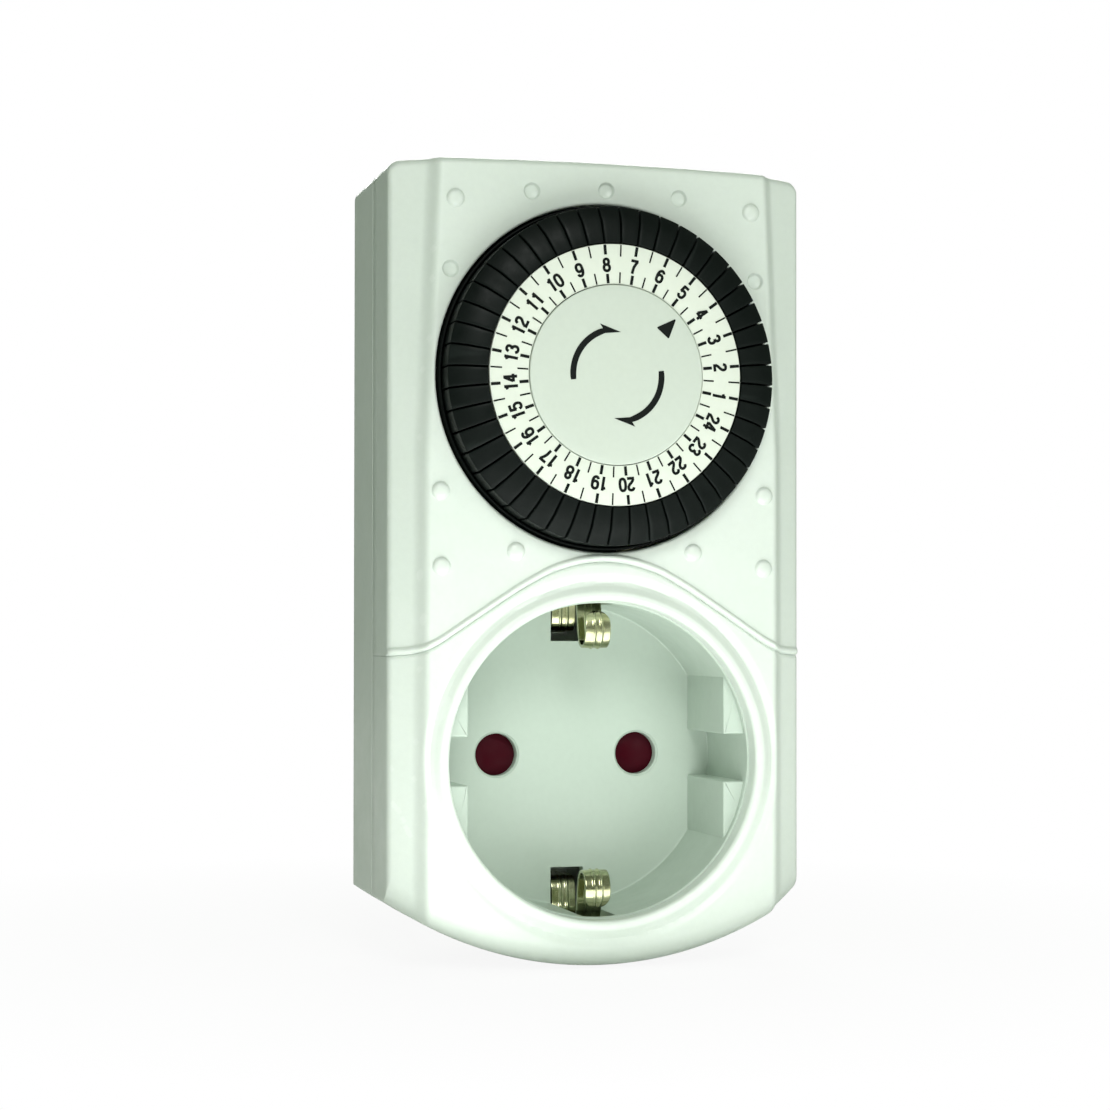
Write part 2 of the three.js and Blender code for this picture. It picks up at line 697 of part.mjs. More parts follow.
// The plate has ears for the lever's axle and holes for the shafts and the lever's peg.
function mechanismPlate() {
  const through = [PLATE_Y0 - CLEAR, PLATE_Y1 + CLEAR];
  const ears = [-16.4, -9.3].map((x) =>
    box(x, x + 1.2, PIVOT_Y - 1.3, PLATE_Y0 + 0.4, 23.4, 26.2),
  );
  return cut(
    add(prismY(PLATE_OUTLINE, PLATE_Y0, PLATE_Y1), ...ears),
    cylY(1.6, ...through, 20, 0, DIAL_Z),
    cylY(0.85, ...through, 12, IDLER_X, IDLER_Z),
    cylY(SHAFT_HOLE_R, ...through, 12, PINION_X, PINION_Z),
    box(LEVER_X - 1.5, LEVER_X + 1.5, ...through, 30.4, 34.8),
    pivotBore(),
  );
}
put("mechanism_plate", mechanismPlate(), "plate");

// Switch: a follower lever behind the tappets pushes the moving contact onto the fixed one.
put("lever_axle", cylX(0.6, -16.3, -8.2, PIVOT_Y, PIVOT_Z), "steel");

const followerLever = cut(
  add(
    cylX(1.35, -14.9, -9.6, PIVOT_Y, PIVOT_Z),
    box(LEVER_X - 1.2, LEVER_X + 1.2, -16.7, -15.3, 25.2, 33.7),
    cylY(0.6, -20.1, -16.2, 10, LEVER_X, NOSE_Z),
    cylY(0.35, -20.4, -20.05, 12, LEVER_X, NOSE_Z, 0.6), // tapered nose tip
    cylY(0.8, -15.6, -11.3, 10, LEVER_X, NOSE_Z), // rear peg
  ),
  pivotBore(),
);
put("follower_lever", followerLever, "acetal");

const movingContact = add(
  box(LEVER_X - 1.5, LEVER_X + 1.5, -10.6, -10.2, 25.0, 42.0),
  cylY(1.2, -10.4, -9.6, 12, LEVER_X, CONTACT_Z),
);
put("moving_contact", movingContact, "copper");

// Bent tail of the fixed contact: [y, z].
const FIXED_TAIL = [
  [-7.2, 22.6], [-4.9, 21.2], [-4.9, 6.6], [-4.3, 6.6],
  [-4.3, 21.6], [-6.7, 23.2], [-7.2, 23.2],
];
const fixedContact = add(
  box(-13.9, -8.1, -7.2, -6.7, 22.2, 28.2),
  cylY(1.2, -7.5, -7.0, 12, LEVER_X, CONTACT_Z),
  prismX(FIXED_TAIL, -10.9, -8.1),
);
put("fixed_contact", fixedContact, "brass");

// Boxes of the live bar: x0, x1, y0, y1, z0, z1.
const LIVE_BAR = [
  [-15.9, -13.1, -3.5, -2.7, 11.2, 46.0],
  [-15.9, -8.1, -3.5, -2.7, 8.6, 13.9],
  [-15.9, -10.7, -3.5, -2.7, 43.0, 46.0],
  [-13.7, -10.7, -10.6, -2.8, 42.6, 43.4],
  [-10.9, -8.1, -3.5, 10.9, 8.6, 9.4],
  [-10.9, -8.1, 10.3, 10.9, -2.6, 9.4],
];
put("live_bar", add(...LIVE_BAR.map((limits) => box(...limits))), "brass");

// ---------------------------------------------------------------- motor
// Synchronous motor: a steel can with its coil and magnet rotor, closed by a rear plate.
const MOTOR_X = 6.5;
const MOTOR_Z = 52.0;
const MOTOR_R = 15.0;

function motorCase() {
  const shell = cut(
    cylY(MOTOR_R, -11.8, -3.4, 28, MOTOR_X, MOTOR_Z),
    cylY(MOTOR_R - 0.8, -11.0, -3, 28, MOTOR_X, MOTOR_Z),
    cylY(SHAFT_HOLE_R, -12, -10, 12, PINION_X, PINION_Z),
    // opening for the leads
    box(MOTOR_X - 16, MOTOR_X - 12, -8.0, -3, MOTOR_Z - 3, MOTOR_Z + 3),
  );
  return add(shell, cylY(0.7, -11.2, -5.4, 12, MOTOR_X, MOTOR_Z));
}
put("motor_case", motorCase(), "steel");
put("motor_coil", ring(7.0, 13.2, -9.6, -4.4, 24, MOTOR_X, MOTOR_Z), "copper");
put("motor_rotor", ring(0.8, 6.4, -10.4, -5.0, 16, MOTOR_X, MOTOR_Z), "magnet");
put("motor_rear_plate", cylY(MOTOR_R - 0.1, -3.2, -2.5, 28, MOTOR_X, MOTOR_Z), "steel");

// Lead paths: [x, y, z].
const LEAD_X = MOTOR_X - 13.6;
const LIVE_LEAD = [
  [LEAD_X, -6.6, MOTOR_Z + 1.2], [-10.2, -6.2, 53.0], [-13.4, -5.0, 51.0],
  [-14.5, -3.9, 47.6], [-14.5, -3.2, 46.5],
];
const NEUTRAL_LEAD = [
  [LEAD_X, -6.6, MOTOR_Z - 1.2], [-9.6, -6.0, 47.6], [-6.6, -4.4, 40.0],
  [-2.4, -3.4, 30.0], [4.2, -2.9, 18.0], [9.0, -2.6, 8.4], [9.5, -2.2, 4.2],
];
put("motor_lead_live", wire(LIVE_LEAD, 0.5, 12), "wireBrown");
put("motor_lead_neutral", wire(NEUTRAL_LEAD, 0.5, 20), "wireBlue");

// ---------------------------------------------------------------- screws
// Pointed shank and rear head: [radius, y].
const SCREW_PROFILE = [
  [0, -20.0], [0.5, -19.9], [1.22, -18.6], [1.22, -2.3],
  [2.6, -2.3], [2.6, -1.2], [2.0, -0.8], [0, -0.8],
];
// A screw with a cross recess in its head.
function screw(x, z) {
  return cut(
    lathe(SCREW_PROFILE, 12, x, z),
    box(x - 1.5, x + 1.5, -1.8, 0, z - 0.3, z + 0.3),
    box(x - 0.3, x + 0.3, -1.8, 0, z - 1.5, z + 1.5),
  );
}
for (const [name, x, z] of SCREWS) put(name, screw(x, z), "steel");

export default timer;
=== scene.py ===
"""24-hour mechanical plug-in timer: dial with tappets above, socket below, plug pins behind.

Lengths are mm unless a name says otherwise. The socket axis is x = z = 0, +Z is up and the
front faces -Y. Every y is measured from the housing's flat back, so the front has negative y.
Left and right are as seen from the front, with +X to the right.
"""

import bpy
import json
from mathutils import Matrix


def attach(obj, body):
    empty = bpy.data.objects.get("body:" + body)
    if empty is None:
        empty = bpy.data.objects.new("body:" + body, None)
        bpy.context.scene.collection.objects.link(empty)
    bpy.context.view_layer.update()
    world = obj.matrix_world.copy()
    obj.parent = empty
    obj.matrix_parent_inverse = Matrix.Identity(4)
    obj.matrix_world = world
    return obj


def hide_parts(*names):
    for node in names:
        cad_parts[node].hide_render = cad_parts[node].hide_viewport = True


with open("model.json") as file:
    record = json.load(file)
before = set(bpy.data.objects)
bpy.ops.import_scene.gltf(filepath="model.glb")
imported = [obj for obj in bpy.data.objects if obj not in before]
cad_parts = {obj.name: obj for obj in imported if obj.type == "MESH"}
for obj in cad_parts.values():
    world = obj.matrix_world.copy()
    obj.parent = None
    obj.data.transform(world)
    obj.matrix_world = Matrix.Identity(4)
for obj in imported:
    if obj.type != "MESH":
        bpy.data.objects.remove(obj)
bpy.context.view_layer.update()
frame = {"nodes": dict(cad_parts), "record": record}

import json
from math import acos, atan2, copysign, cos, degrees, exp, hypot, pi, radians, sin, sqrt, tan

import bmesh
import bpy
import numpy as np
from mathutils import Matrix, Vector

MM = 0.001
# y of the housing's flat back in the scene
BACK_Y = next(
    m["pos_m"][1] for m in frame["record"]["mounts"] if m["name"] == "wall_face") * 1000

# ---------------------------------------------------------------- shared dimensions
HALF_W = 26.9                      # half the housing's width
PANEL_Y, RIM_Y = -25.7, -26.0      # front panel, socket rim
SPLIT_Y = -13.0                    # parting plane of front covers and rear shell
TOP_Z, TOP_CROWN, TOP_R = 74.0, 0.45, 1.5
BASE_R, BASE_CZ = 47.0, 21.4       # arc along the bottom: radius, height of its centre
WALL = 2.0
SIDE_ROUND, TOP_ROUND, BASE_ROUND = 0.55, 1.0, 2.6   # front edge roundings
WELL_R, RIM_IN_R = 19.6, 19.84
PIN_X = 9.5
DIAL_Z = 47.5
HOURS = 24
HOUR_DEG = 360 / HOURS
HOUR_PHASE = 5.6                   # turn of the dial, degrees
# seam between the front covers: distance from the middle, height
SEAM_X = [0, 3.2, 7.0, 10.9, 14.9, 18.9, 21.6, 24.0, 29.0]
SEAM_Z = [24.9, 24.55, 23.4, 21.25, 18.65, 16.0, 14.2, 13.3, 13.0]
# name, x, z
SCREWS = [
    ("screw_top_left", -21.6, 69.2), ("screw_top_right", 21.6, 69.2),
    ("screw_bottom_left", -21.5, -14.3), ("screw_bottom_right", 21.5, -14.3),
]


# ---------------------------------------------------------------- meshes and objects
def new_mesh(name, verts, polys):
    """polys is a list of (n, k) index arrays and single index lists."""
    mesh = bpy.data.meshes.new(name)
    coords = (np.asarray(verts, np.float64).reshape(-1, 3) + (0, BACK_Y, 0)) * MM
    loops, starts, total = [], [], 0
    for poly in polys:
        faces = np.asarray(poly, np.int64)
        if faces.ndim == 1:
            faces = faces.reshape(1, -1)
        starts.append(total + faces.shape[1] * np.arange(len(faces)))
        loops.append(faces.ravel())
        total += faces.size
    loops, starts = np.concatenate(loops), np.concatenate(starts)
    mesh.vertices.add(len(coords))
    mesh.vertices.foreach_set("co", coords.astype(np.float32).ravel())
    mesh.loops.add(len(loops))
    mesh.loops.foreach_set("vertex_index", loops.astype(np.int32))
    mesh.polygons.add(len(starts))
    mesh.polygons.foreach_set("loop_start", starts.astype(np.int32))
    mesh.update(calc_edges=True)
    mesh.validate()
    return mesh


def new_object(name, data):
    made = bpy.data.objects.new(name, data)
    bpy.context.scene.collection.objects.link(made)
    return made


def solid(name, verts, polys):
    """Closed object with its normals facing outwards."""
    mesh = new_mesh(name, verts, polys)
    bm = bmesh.new()
    bm.from_mesh(mesh)
    bmesh.ops.recalc_face_normals(bm, faces=bm.faces)
    if bm.calc_volume(signed=True) < 0:
        bmesh.ops.reverse_faces(bm, faces=bm.faces)
    bm.to_mesh(mesh)
    bm.free()
    return new_object(name, mesh)


def copy_of(source, name):
    return new_object(name, source.data.copy())


def bake(target):
    """Applies every modifier."""
    graph = bpy.context.evaluated_depsgraph_get()
    mesh = bpy.data.meshes.new_from_object(target.evaluated_get(graph), depsgraph=graph)
    old = target.data
    target.modifiers.clear()
    target.data = mesh
    mesh.name = target.name
    bpy.data.meshes.remove(old)
    return target


def drop(unwanted):
    mesh = unwanted.data
    bpy.data.objects.remove(unwanted)
    if mesh.users == 0:
        bpy.data.meshes.remove(mesh)


def boolean(target, *tools, operation="DIFFERENCE"):
    """Applies the tools in order and removes them."""
    for tool in tools:
        mod = target.modifiers.new("b", "BOOLEAN")
        mod.operation, mod.object, mod.solver = operation, tool, "MANIFOLD"
    bake(target)
    for tool in tools:
        drop(tool)
    return target


def union(target, *tools):
    return boolean(target, *tools, operation="UNION")


def bevel(target, width, segments, angle):
    mod = target.modifiers.new("bevel", "BEVEL")
    mod.width, mod.segments = width * MM, segments
    mod.limit_method, mod.angle_limit = "ANGLE", radians(angle)
    mod.use_clamp_overlap = True
    return bake(target)


def join(name, *pieces):
    mesh = bpy.data.meshes.new(name)
    bm = bmesh.new()
    for piece in pieces:
        bm.from_mesh(piece.data)
    bm.to_mesh(mesh)
    bm.free()
    for piece in pieces:
        drop(piece)
    return new_object(name, mesh)


def tidy(target, dist=0.003):
    """Closes up the tiny edges a boolean leaves, if the mesh stays closed."""
    bm = bmesh.new()
    bm.from_mesh(target.data)
    bmesh.ops.dissolve_degenerate(bm, dist=dist * MM, edges=bm.edges)
    loose = [v for v in bm.verts if not v.link_faces]
    bmesh.ops.delete(bm, geom=loose, context="VERTS")
    if all(e.is_manifold for e in bm.edges):
        bm.to_mesh(target.data)
    bm.free()
    return target


def shade(mesh, mat, sharp):
    """One material, smooth shading, sharp edges above an angle in degrees."""
    mesh.materials.clear()
    mesh.materials.append(mat)
    mesh.polygons.foreach_set("use_smooth", np.ones(len(mesh.polygons), bool))
    mesh.set_sharp_from_angle(angle=radians(sharp))


def finish_piece(piece, mat, body, stands_for=None, sharp=32, weighted=False):
    """weighted lets the large faces set the shading."""
    shade(piece.data, mat, sharp)
    if weighted:
        mod = piece.modifiers.new("n", "WEIGHTED_NORMAL")
        mod.mode, mod.weight, mod.keep_sharp = "FACE_AREA", 50, True
        bake(piece)
    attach(piece, body)
    if stands_for:
        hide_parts(stands_for)


# ---------------------------------------------------------------- shapes
def fillet(points, steps=5):
    """Closed loop of (a, b) or (a, b, radius) points, with its marked corners rounded."""
    rounded = []
    for i, point in enumerate(points):
        radius = point[2] if len(point) > 2 else 0
        if radius <= 0:
            rounded.append((point[0], point[1]))
            continue
        corner = np.array(point[:2], float)
        before = np.array(points[i - 1][:2], float) - corner
        after = np.array(points[(i + 1) % len(points)][:2], float) - corner
        before_len, after_len = np.linalg.norm(before), np.linalg.norm(after)
        before, after = before / before_len, after / after_len
        angle = acos(max(-1, min(1, float(before @ after))))
        if angle > pi - 1e-3:
            rounded.append((point[0], point[1]))
            continue
        cut = min(radius / tan(angle / 2), 0.49 * before_len, 0.49 * after_len)
        arc_r = cut * tan(angle / 2)
        between = before + after
        centre = corner + between / np.linalg.norm(between) * (arc_r / sin(angle / 2))
        start, end = corner + before * cut - centre, corner + after * cut - centre
        first, last = atan2(start[1], start[0]), atan2(end[1], end[0])
        turn = (last - first + pi) % (2 * pi) - pi
        for k in range(steps + 1):
            a = first + turn * k / steps
            rounded.append((centre[0] + arc_r * cos(a), centre[1] + arc_r * sin(a)))
    return rounded


def lathe(name, profile, seg=128, x=0.0, z=0.0, steps=5):
    """Closed profile [(r, y[, corner radius])] turned about the Y axis through (x, z)."""
    points = fillet(profile, steps)
    clean = []
    for r, y in points:
        if not clean or hypot(r - clean[-1][0], y - clean[-1][1]) > 1e-5:
            clean.append((r, y))
    if hypot(clean[0][0] - clean[-1][0], clean[0][1] - clean[-1][1]) < 1e-5:
        clean.pop()
    angle = np.arange(seg) * 2 * pi / seg
    verts, rings = [], []
    for r, y in clean:
        if r < 1e-6:
            rings.append(len(verts))
            verts.append((x, y, z))
        else:
            rings.append(np.arange(seg) + len(verts))
            verts.extend(zip(x + r * np.cos(angle), np.full(seg, y), z + r * np.sin(angle)))
    polys = []
    for i, ring_a in enumerate(rings):
        ring_b = rings[(i + 1) % len(rings)]
        point_a, point_b = isinstance(ring_a, int), isinstance(ring_b, int)
        if point_a and point_b:
            continue
        if point_a:
            polys.append(np.c_[np.full(seg, ring_a), ring_b, np.roll(ring_b, -1)])
        elif point_b:
            polys.append(np.c_[ring_a, np.full(seg, ring_b), np.roll(ring_a, -1)])
        else:
            polys.append(np.c_[ring_a, ring_b, np.roll(ring_b, -1), np.roll(ring_a, -1)])
    return solid(name, verts, polys)


def cylinder(radius, y0, y1, x=0.0, z=0.0, seg=128, round0=0.0, round1=0.0, steps=5):
    """round0 and round1 round the edges at y0 and y1."""
    profile = [(0, y0), (radius, y0, round0), (radius, y1, round1), (0, y1)]
    return lathe("cylinder", profile, seg, x, z, steps)


def loft(name, loops, reverse_caps=False):
    """Solid through equal loops of 3-D points; reverse_caps turns both end faces over."""
    count = len(loops[0])
    i = np.arange(count)
    j = (i + 1) % count
    sides = [np.c_[k * count + i, k * count + j, (k + 1) * count + j, (k + 1) * count + i]
             for k in range(len(loops) - 1)]
    last = (len(loops) - 1) * count + i
    caps = [i[::-1], last] if reverse_caps else [i, last[::-1]]
    return solid(name, np.concatenate(loops), sides + caps)


def at_y(loop, y):
    """(x, z) loop as 3-D points at depth y."""
    return np.c_[loop[:, 0], np.broadcast_to(y, len(loop)), loop[:, 1]]


def inset_loop(loop, inset):
    """Moves a closed anticlockwise 2-D loop inwards."""
    edge = np.roll(loop, -1, 0) - loop
    edge /= np.linalg.norm(edge, axis=1, keepdims=True) + 1e-12
    normal = np.c_[-edge[:, 1], edge[:, 0]]
    mitre = normal + np.roll(normal, 1, 0)
    square = np.sum(mitre * mitre, 1, keepdims=True)
    return loop + mitre * (2 * inset / np.maximum(square, 0.8))


def prism(name, points, y0, y1, round0=0.0, round1=0.0, corner=0.0):
    """(x, z) outline run from y0 to y1; round0, round1 round the ends, corner the outline."""
    if corner:
        points = fillet([(x, z, corner) for x, z in points], 4)
    loop = np.asarray(points, float)
    ahead = np.roll(loop, -1, 0)
    if float(np.sum(loop[:, 0] * ahead[:, 1] - ahead[:, 0] * loop[:, 1])) < 0:
        loop = loop[::-1]
    steps = 4
    levels = [(y0, 0.0)]
    if round0 > 0:
        levels = [(y0 + round0 * (1 - cos(pi / 2 * k / steps)),
                   round0 * (1 - sin(pi / 2 * k / steps))) for k in range(steps + 1)]
    if round1 > 0:
        levels += [(y1 - round1 * (1 - sin(pi / 2 * k / steps)),
                    round1 * (1 - cos(pi / 2 * k / steps))) for k in range(steps + 1)]
    else:
        levels.append((y1, 0.0))
    return loft(name, [at_y(inset_loop(loop, inset) if inset > 0 else loop, y)
                       for y, inset in levels])


def rect(x0, x1, z0, z1):
    return [(x0, z0), (x1, z0), (x1, z1), (x0, z1)]


def box(x0, x1, y0, y1, z0, z1, corner=0.0):
    return prism("box", rect(x0, x1, z0, z1), y0, y1, corner=corner)


def smooth_path(points, per):
    """Catmull-Rom curve through 2-D points, with per steps between neighbours."""
    path = np.asarray(points, float)
    path = np.vstack([2 * path[0] - path[1], path, 2 * path[-1] - path[-2]])
    out = []
    for i in range(1, len(path) - 2):
        before, start, end, after = path[i - 1:i + 3]
        for k in range(per):
            t = k / per
            out.append(0.5 * (
                (2 * start) + (end - before) * t
                + (2 * before - 5 * start + 4 * end - after) * t * t
                + (3 * start - before - 3 * end + after) * t**3))
    out.append(path[-2])
    return np.array(out)


# ---------------------------------------------------------------- material graphs
def empty_tree(owner):
    owner.use_nodes = True
    owner.node_tree.nodes.clear()
    return owner.node_tree


def add_node(tree, kind):
    return tree.nodes.new("ShaderNode" + kind)


def noise(tree, coord, *, scale, detail, rough):
    node = add_node(tree, "TexNoise")
    node.inputs["Scale"].default_value = scale
    node.inputs["Detail"].default_value = detail
    node.inputs["Roughness"].default_value = rough
    tree.links.new(coord, node.inputs["Vector"])
    return node.outputs["Fac"]


def remap(tree, value, span, result):
    """Maps the range span to the range result."""
    node = add_node(tree, "MapRange")
    node.inputs["From Min"].default_value, node.inputs["From Max"].default_value = span
    node.inputs["To Min"].default_value, node.inputs["To Max"].default_value = result
    tree.links.new(value, node.inputs["Value"])
    return node.outputs["Result"]


def mix(tree, factor, first, second):
    """Colour mix; first is a colour or a socket, second a colour."""
    node = add_node(tree, "Mix")
    node.data_type = "RGBA"
    in_factor, in_first, in_second = (node.inputs[i] for i in (0, 6, 7))
    if isinstance(first, tuple):
        in_first.default_value = (*first, 1)
    else:
        tree.links.new(first, in_first)
    in_second.default_value = (*second, 1)
    tree.links.new(factor, in_factor)
    return node.outputs[2]


def base_color(tree, coord, color, tint, tint_amount, edge, edge_highlight_amount, blotch, speck):
    """Blotches of tint, darker specks and an optional painted highlight: a lighter edge colour
    mixed onto convex edges.
    """
    blotches = noise(tree, coord, scale=blotch, detail=4.0, rough=0.55)
    col = mix(tree, remap(tree, blotches, (0.3, 0.7), (0.0, tint_amount)), color, tint)
    specks = noise(tree, coord, scale=speck, detail=2.0, rough=0.6)
    darker = tuple(c * 0.86 for c in color)
    col = mix(tree, remap(tree, specks, (0.35, 0.75), (0.0, 0.18)), col, darker)
    # painted highlight: when edge is given, convex edges are mixed towards that lighter colour
    if edge:
        edge_highlight_mask = add_node(tree, "NewGeometry").outputs["Pointiness"]
        col = mix(tree, remap(tree, edge_highlight_mask, (0.52, 0.60), (0.0, edge_highlight_amount)), col, edge)
    return col


def surface_normal(tree, coord, grain, grain_scale, brushed, bevel_r):
    """Rounded edges under a fine bump; None if neither is asked for."""
    normal = None
    if bevel_r:
        rounding = add_node(tree, "Bevel")
        rounding.samples = 4
        rounding.inputs["Radius"].default_value = bevel_r * MM
        normal = rounding.outputs["Normal"]
    if grain:
        if brushed:
            mapping = add_node(tree, "Mapping")
            mapping.inputs["Scale"].default_value = brushed
            tree.links.new(coord, mapping.inputs["Vector"])
            height = noise(tree, mapping.outputs[0], scale=1.0, detail=3.0, rough=0.6)
        else:
            height = noise(tree, coord, scale=grain_scale, detail=3.0, rough=0.55)
        bump = add_node(tree, "Bump")
        bump.inputs["Strength"].default_value = 1.0
        bump.inputs["Distance"].default_value = grain * MM
        tree.links.new(height, bump.inputs["Height"])
        if normal:
            tree.links.new(normal, bump.inputs["Normal"])
        normal = bump.outputs["Normal"]
    return normal


def material(name, *, color, rough=0.45, metallic=0.0, tint=None, tint_amount=0.5, edge=None,
             edge_highlight_amount=0.35, grain=0.0, grain_scale=2500.0, bevel_r=0.0, sss=0.0,
             specular=0.5, brushed=None, rough_var=0.08, blotch_scale=90.0):
    """Procedural finish. Colours are linear RGB; grain is the bump height and bevel_r the
    edge rounding, both in mm; brushed is the noise scale along x, y, z."""
    mat = bpy.data.materials.new(name)
    tree = empty_tree(mat)
    shader = add_node(tree, "BsdfPrincipled")
    tree.links.new(shader.outputs[0], add_node(tree, "OutputMaterial").inputs[0])
    coord = add_node(tree, "TexCoord").outputs["Object"]
    tint = tint or tuple(c * 0.93 for c in color)
    # edge, when given, is a painted highlight: a lighter colour mixed onto convex edges
    col = base_color(tree, coord, color, tint, tint_amount, edge, edge_highlight_amount,
                     blotch=blotch_scale, speck=grain_scale * 0.4)
    tree.links.new(col, shader.inputs["Base Color"])
    shader.inputs["Metallic"].default_value = metallic
    shader.inputs["Specular IOR Level"].default_value = specular
    wear = noise(tree, coord, scale=grain_scale * 0.12, detail=3.0, rough=0.6)
    span = (max(0.03, rough - rough_var), min(1.0, rough + rough_var))
    tree.links.new(remap(tree, wear, (0.3, 0.7), span), shader.inputs["Roughness"])
    if sss:
        shader.inputs["Subsurface Weight"].default_value = sss
        shader.inputs["Subsurface Radius"].default_value = (1.0, 1.0, 0.8)
        shader.inputs["Subsurface Scale"].default_value = 0.0012
    normal = surface_normal(tree, coord, grain, grain_scale, brushed, bevel_r)
    if normal:
        tree.links.new(normal, shader.inputs["Normal"])
    return mat


# ---------------------------------------------------------------- materials
# the shell's edge colour is a painted highlight: its convex edges are mixed towards a lighter
# tone
SHELL = material(
    "shell_plastic", color=(0.70, 0.755, 0.70), rough=0.36, tint=(0.66, 0.735, 0.665),
    edge=(0.82, 0.86, 0.82), edge_highlight_amount=0.25, grain=0.006, grain_scale=3200, bevel_r=0.16,
    sss=0.12)
# painted shade: the socket well's plastic is set darker than the shell to stand in for the
# shade deep in the socket recess
SHADED_WELL = material(
    "well_plastic_painted_shade", color=(0.51, 0.59, 0.52), rough=0.36, tint=(0.48, 0.565, 0.49),
    grain=0.003, grain_scale=3200, specular=0.4)
RING = material(
    "ring_plastic", color=(0.735, 0.775, 0.69), rough=0.52, tint=(0.70, 0.745, 0.655),
    specular=0.3, grain=0.003, grain_scale=3000, bevel_r=0.06, sss=0.08)
DISC = material(
    "disc_plastic", color=(0.60, 0.655, 0.585), rough=0.52, tint=(0.575, 0.63, 0.56),
    specular=0.3, grain=0.003, grain_scale=3000, bevel_r=0.08, sss=0.08)
# the tappets' edge colour is a painted highlight: convex edges of the black segments are mixed
# towards a lighter grey
TAPPET = material(
    "tappet_plastic", color=(0.0030, 0.0048, 0.0042), rough=0.46,
    tint=(0.0058, 0.0085, 0.0072), edge=(0.03, 0.038, 0.035), edge_highlight_amount=0.2,
    specular=0.11, grain=0.010, grain_scale=2600, bevel_r=0.10, rough_var=0.12,
    blotch_scale=400)
WHEEL = material(
    "wheel_plastic", color=(0.003, 0.0042, 0.0038), rough=0.45, tint=(0.005, 0.007, 0.006),
    specular=0.06, grain=0.006, grain_scale=2600, bevel_r=0.08)
INK = material(
    "print_ink", color=(0.0035, 0.005, 0.0045), rough=0.6, tint=(0.007, 0.009, 0.008),
    specular=0.15, grain=0.002, grain_scale=5000)
MAROON = material(
    "shutter_plastic", color=(0.046, 0.0008, 0.0055), rough=0.5,
    tint=(0.036, 0.0006, 0.0045), specular=0.07, grain=0.006, grain_scale=2600, bevel_r=0.1)
# the nickel's edge colour is a painted highlight: convex edges of the earth springs are mixed
# towards a lighter tone
NICKEL = material(
    "nickel_plate", color=(0.56, 0.57, 0.37), rough=0.18, metallic=1.0,
    tint=(0.34, 0.345, 0.17), tint_amount=0.8, edge=(0.80, 0.80, 0.74), grain=0.008,
    grain_scale=1600, bevel_r=0.06, blotch_scale=500, rough_var=0.1)
PIN = material(
    "pin_nickel", color=(0.66, 0.65, 0.60), rough=0.22, metallic=1.0,
    tint=(0.55, 0.54, 0.47), grain=0.004, grain_scale=1600, brushed=(600, 9000, 600))
BRASS = material(
    "rolled_brass", color=(0.62, 0.43, 0.16), rough=0.3, metallic=1.0,
    tint=(0.5, 0.33, 0.11), grain=0.004, brushed=(800, 800, 9000), bevel_r=0.06)
STEEL = material(
    "bright_steel", color=(0.50, 0.505, 0.51), rough=0.3, metallic=1.0,
    tint=(0.38, 0.385, 0.39), grain=0.004, grain_scale=2000, bevel_r=0.06)
ACETAL = material(
    "acetal", color=(0.80, 0.77, 0.66), tint=(0.76, 0.73, 0.62), grain=0.003, bevel_r=0.06,
    sss=0.15)
PLATE = material(
    "plate_plastic", color=(0.028, 0.031, 0.033), rough=0.55, tint=(0.02, 0.022, 0.024),
    grain=0.008, bevel_r=0.1)
COPPER = material(
    "enamelled_copper", color=(0.42, 0.13, 0.05), rough=0.3, metallic=0.9,
    tint=(0.32, 0.09, 0.03), grain=0.02, brushed=(300, 300, 9000))
FERRITE = material(
    "ferrite", color=(0.02, 0.02, 0.022), rough=0.6, metallic=0.2, grain=0.01, bevel_r=0.1)
BLUE_WIRE = material("wire_pvc_blue", color=(0.02, 0.07, 0.32), grain=0.003)
BROWN_WIRE = material("wire_pvc_brown", color=(0.10, 0.035, 0.015), grain=0.003)


# ---------------------------------------------------------------- housing outline
def seam_z(x):
    """Height of the seam between the front covers, smoothed."""
    shifts = np.linspace(-1.2, 1.2, 13)
    x = np.abs(np.asarray(x, float))
    return np.mean([np.interp(np.abs(x + k), SEAM_X, SEAM_Z) for k in shifts], axis=0)


def top_z(x):
    x = np.abs(np.asarray(x, float))
    flat = HALF_W - TOP_R
    crown = TOP_Z + TOP_CROWN * (1 - np.minimum(x / flat, 1) ** 2)
    corner = TOP_Z - TOP_R + np.sqrt(np.maximum(TOP_R * TOP_R - (x - flat) ** 2, 0))
    return np.where(x <= flat, crown, corner)


def base_z(x):
    return BASE_CZ - np.sqrt(BASE_R**2 - np.asarray(x, float) ** 2)


def outline(inset, base_n=96, corner_n=10, top_n=60, side_n=40):
    """Housing outline in (x, z), anticlockwise from the lower left corner."""
    half, base_r, top = HALF_W - inset, BASE_R - inset, TOP_Z - inset
    corner_r = max(TOP_R - inset, 0.4)
    flat, corner_z = half - corner_r, top - corner_r
    edge = np.arcsin(half / base_r)
    points = []
    for i in range(base_n + 1):
        a = -edge + 2 * edge * i / base_n
        points.append((base_r * sin(a), BASE_CZ - base_r * cos(a)))
    low_z = points[-1][1]
    for i in range(1, side_n):
        points.append((half, low_z + (corner_z - low_z) * i / side_n))
    for i in range(corner_n + 1):
        a = pi / 2 * i / corner_n
        points.append((flat + corner_r * cos(a), corner_z + corner_r * sin(a)))
    for i in range(1, top_n):
        x = flat * (1 - 2 * i / top_n)
        points.append((x, top + TOP_CROWN * (1 - (x / flat) ** 2)))
    for i in range(corner_n + 1):
        a = pi / 2 + pi / 2 * i / corner_n
        points.append((-flat + corner_r * cos(a), corner_z + corner_r * sin(a)))
    for i in range(1, side_n):
        points.append((-half, corner_z + (low_z - corner_z) * i / side_n))
    return points


def inner_outline():
    return outline(WALL, base_n=40, corner_n=5, top_n=6, side_n=6)


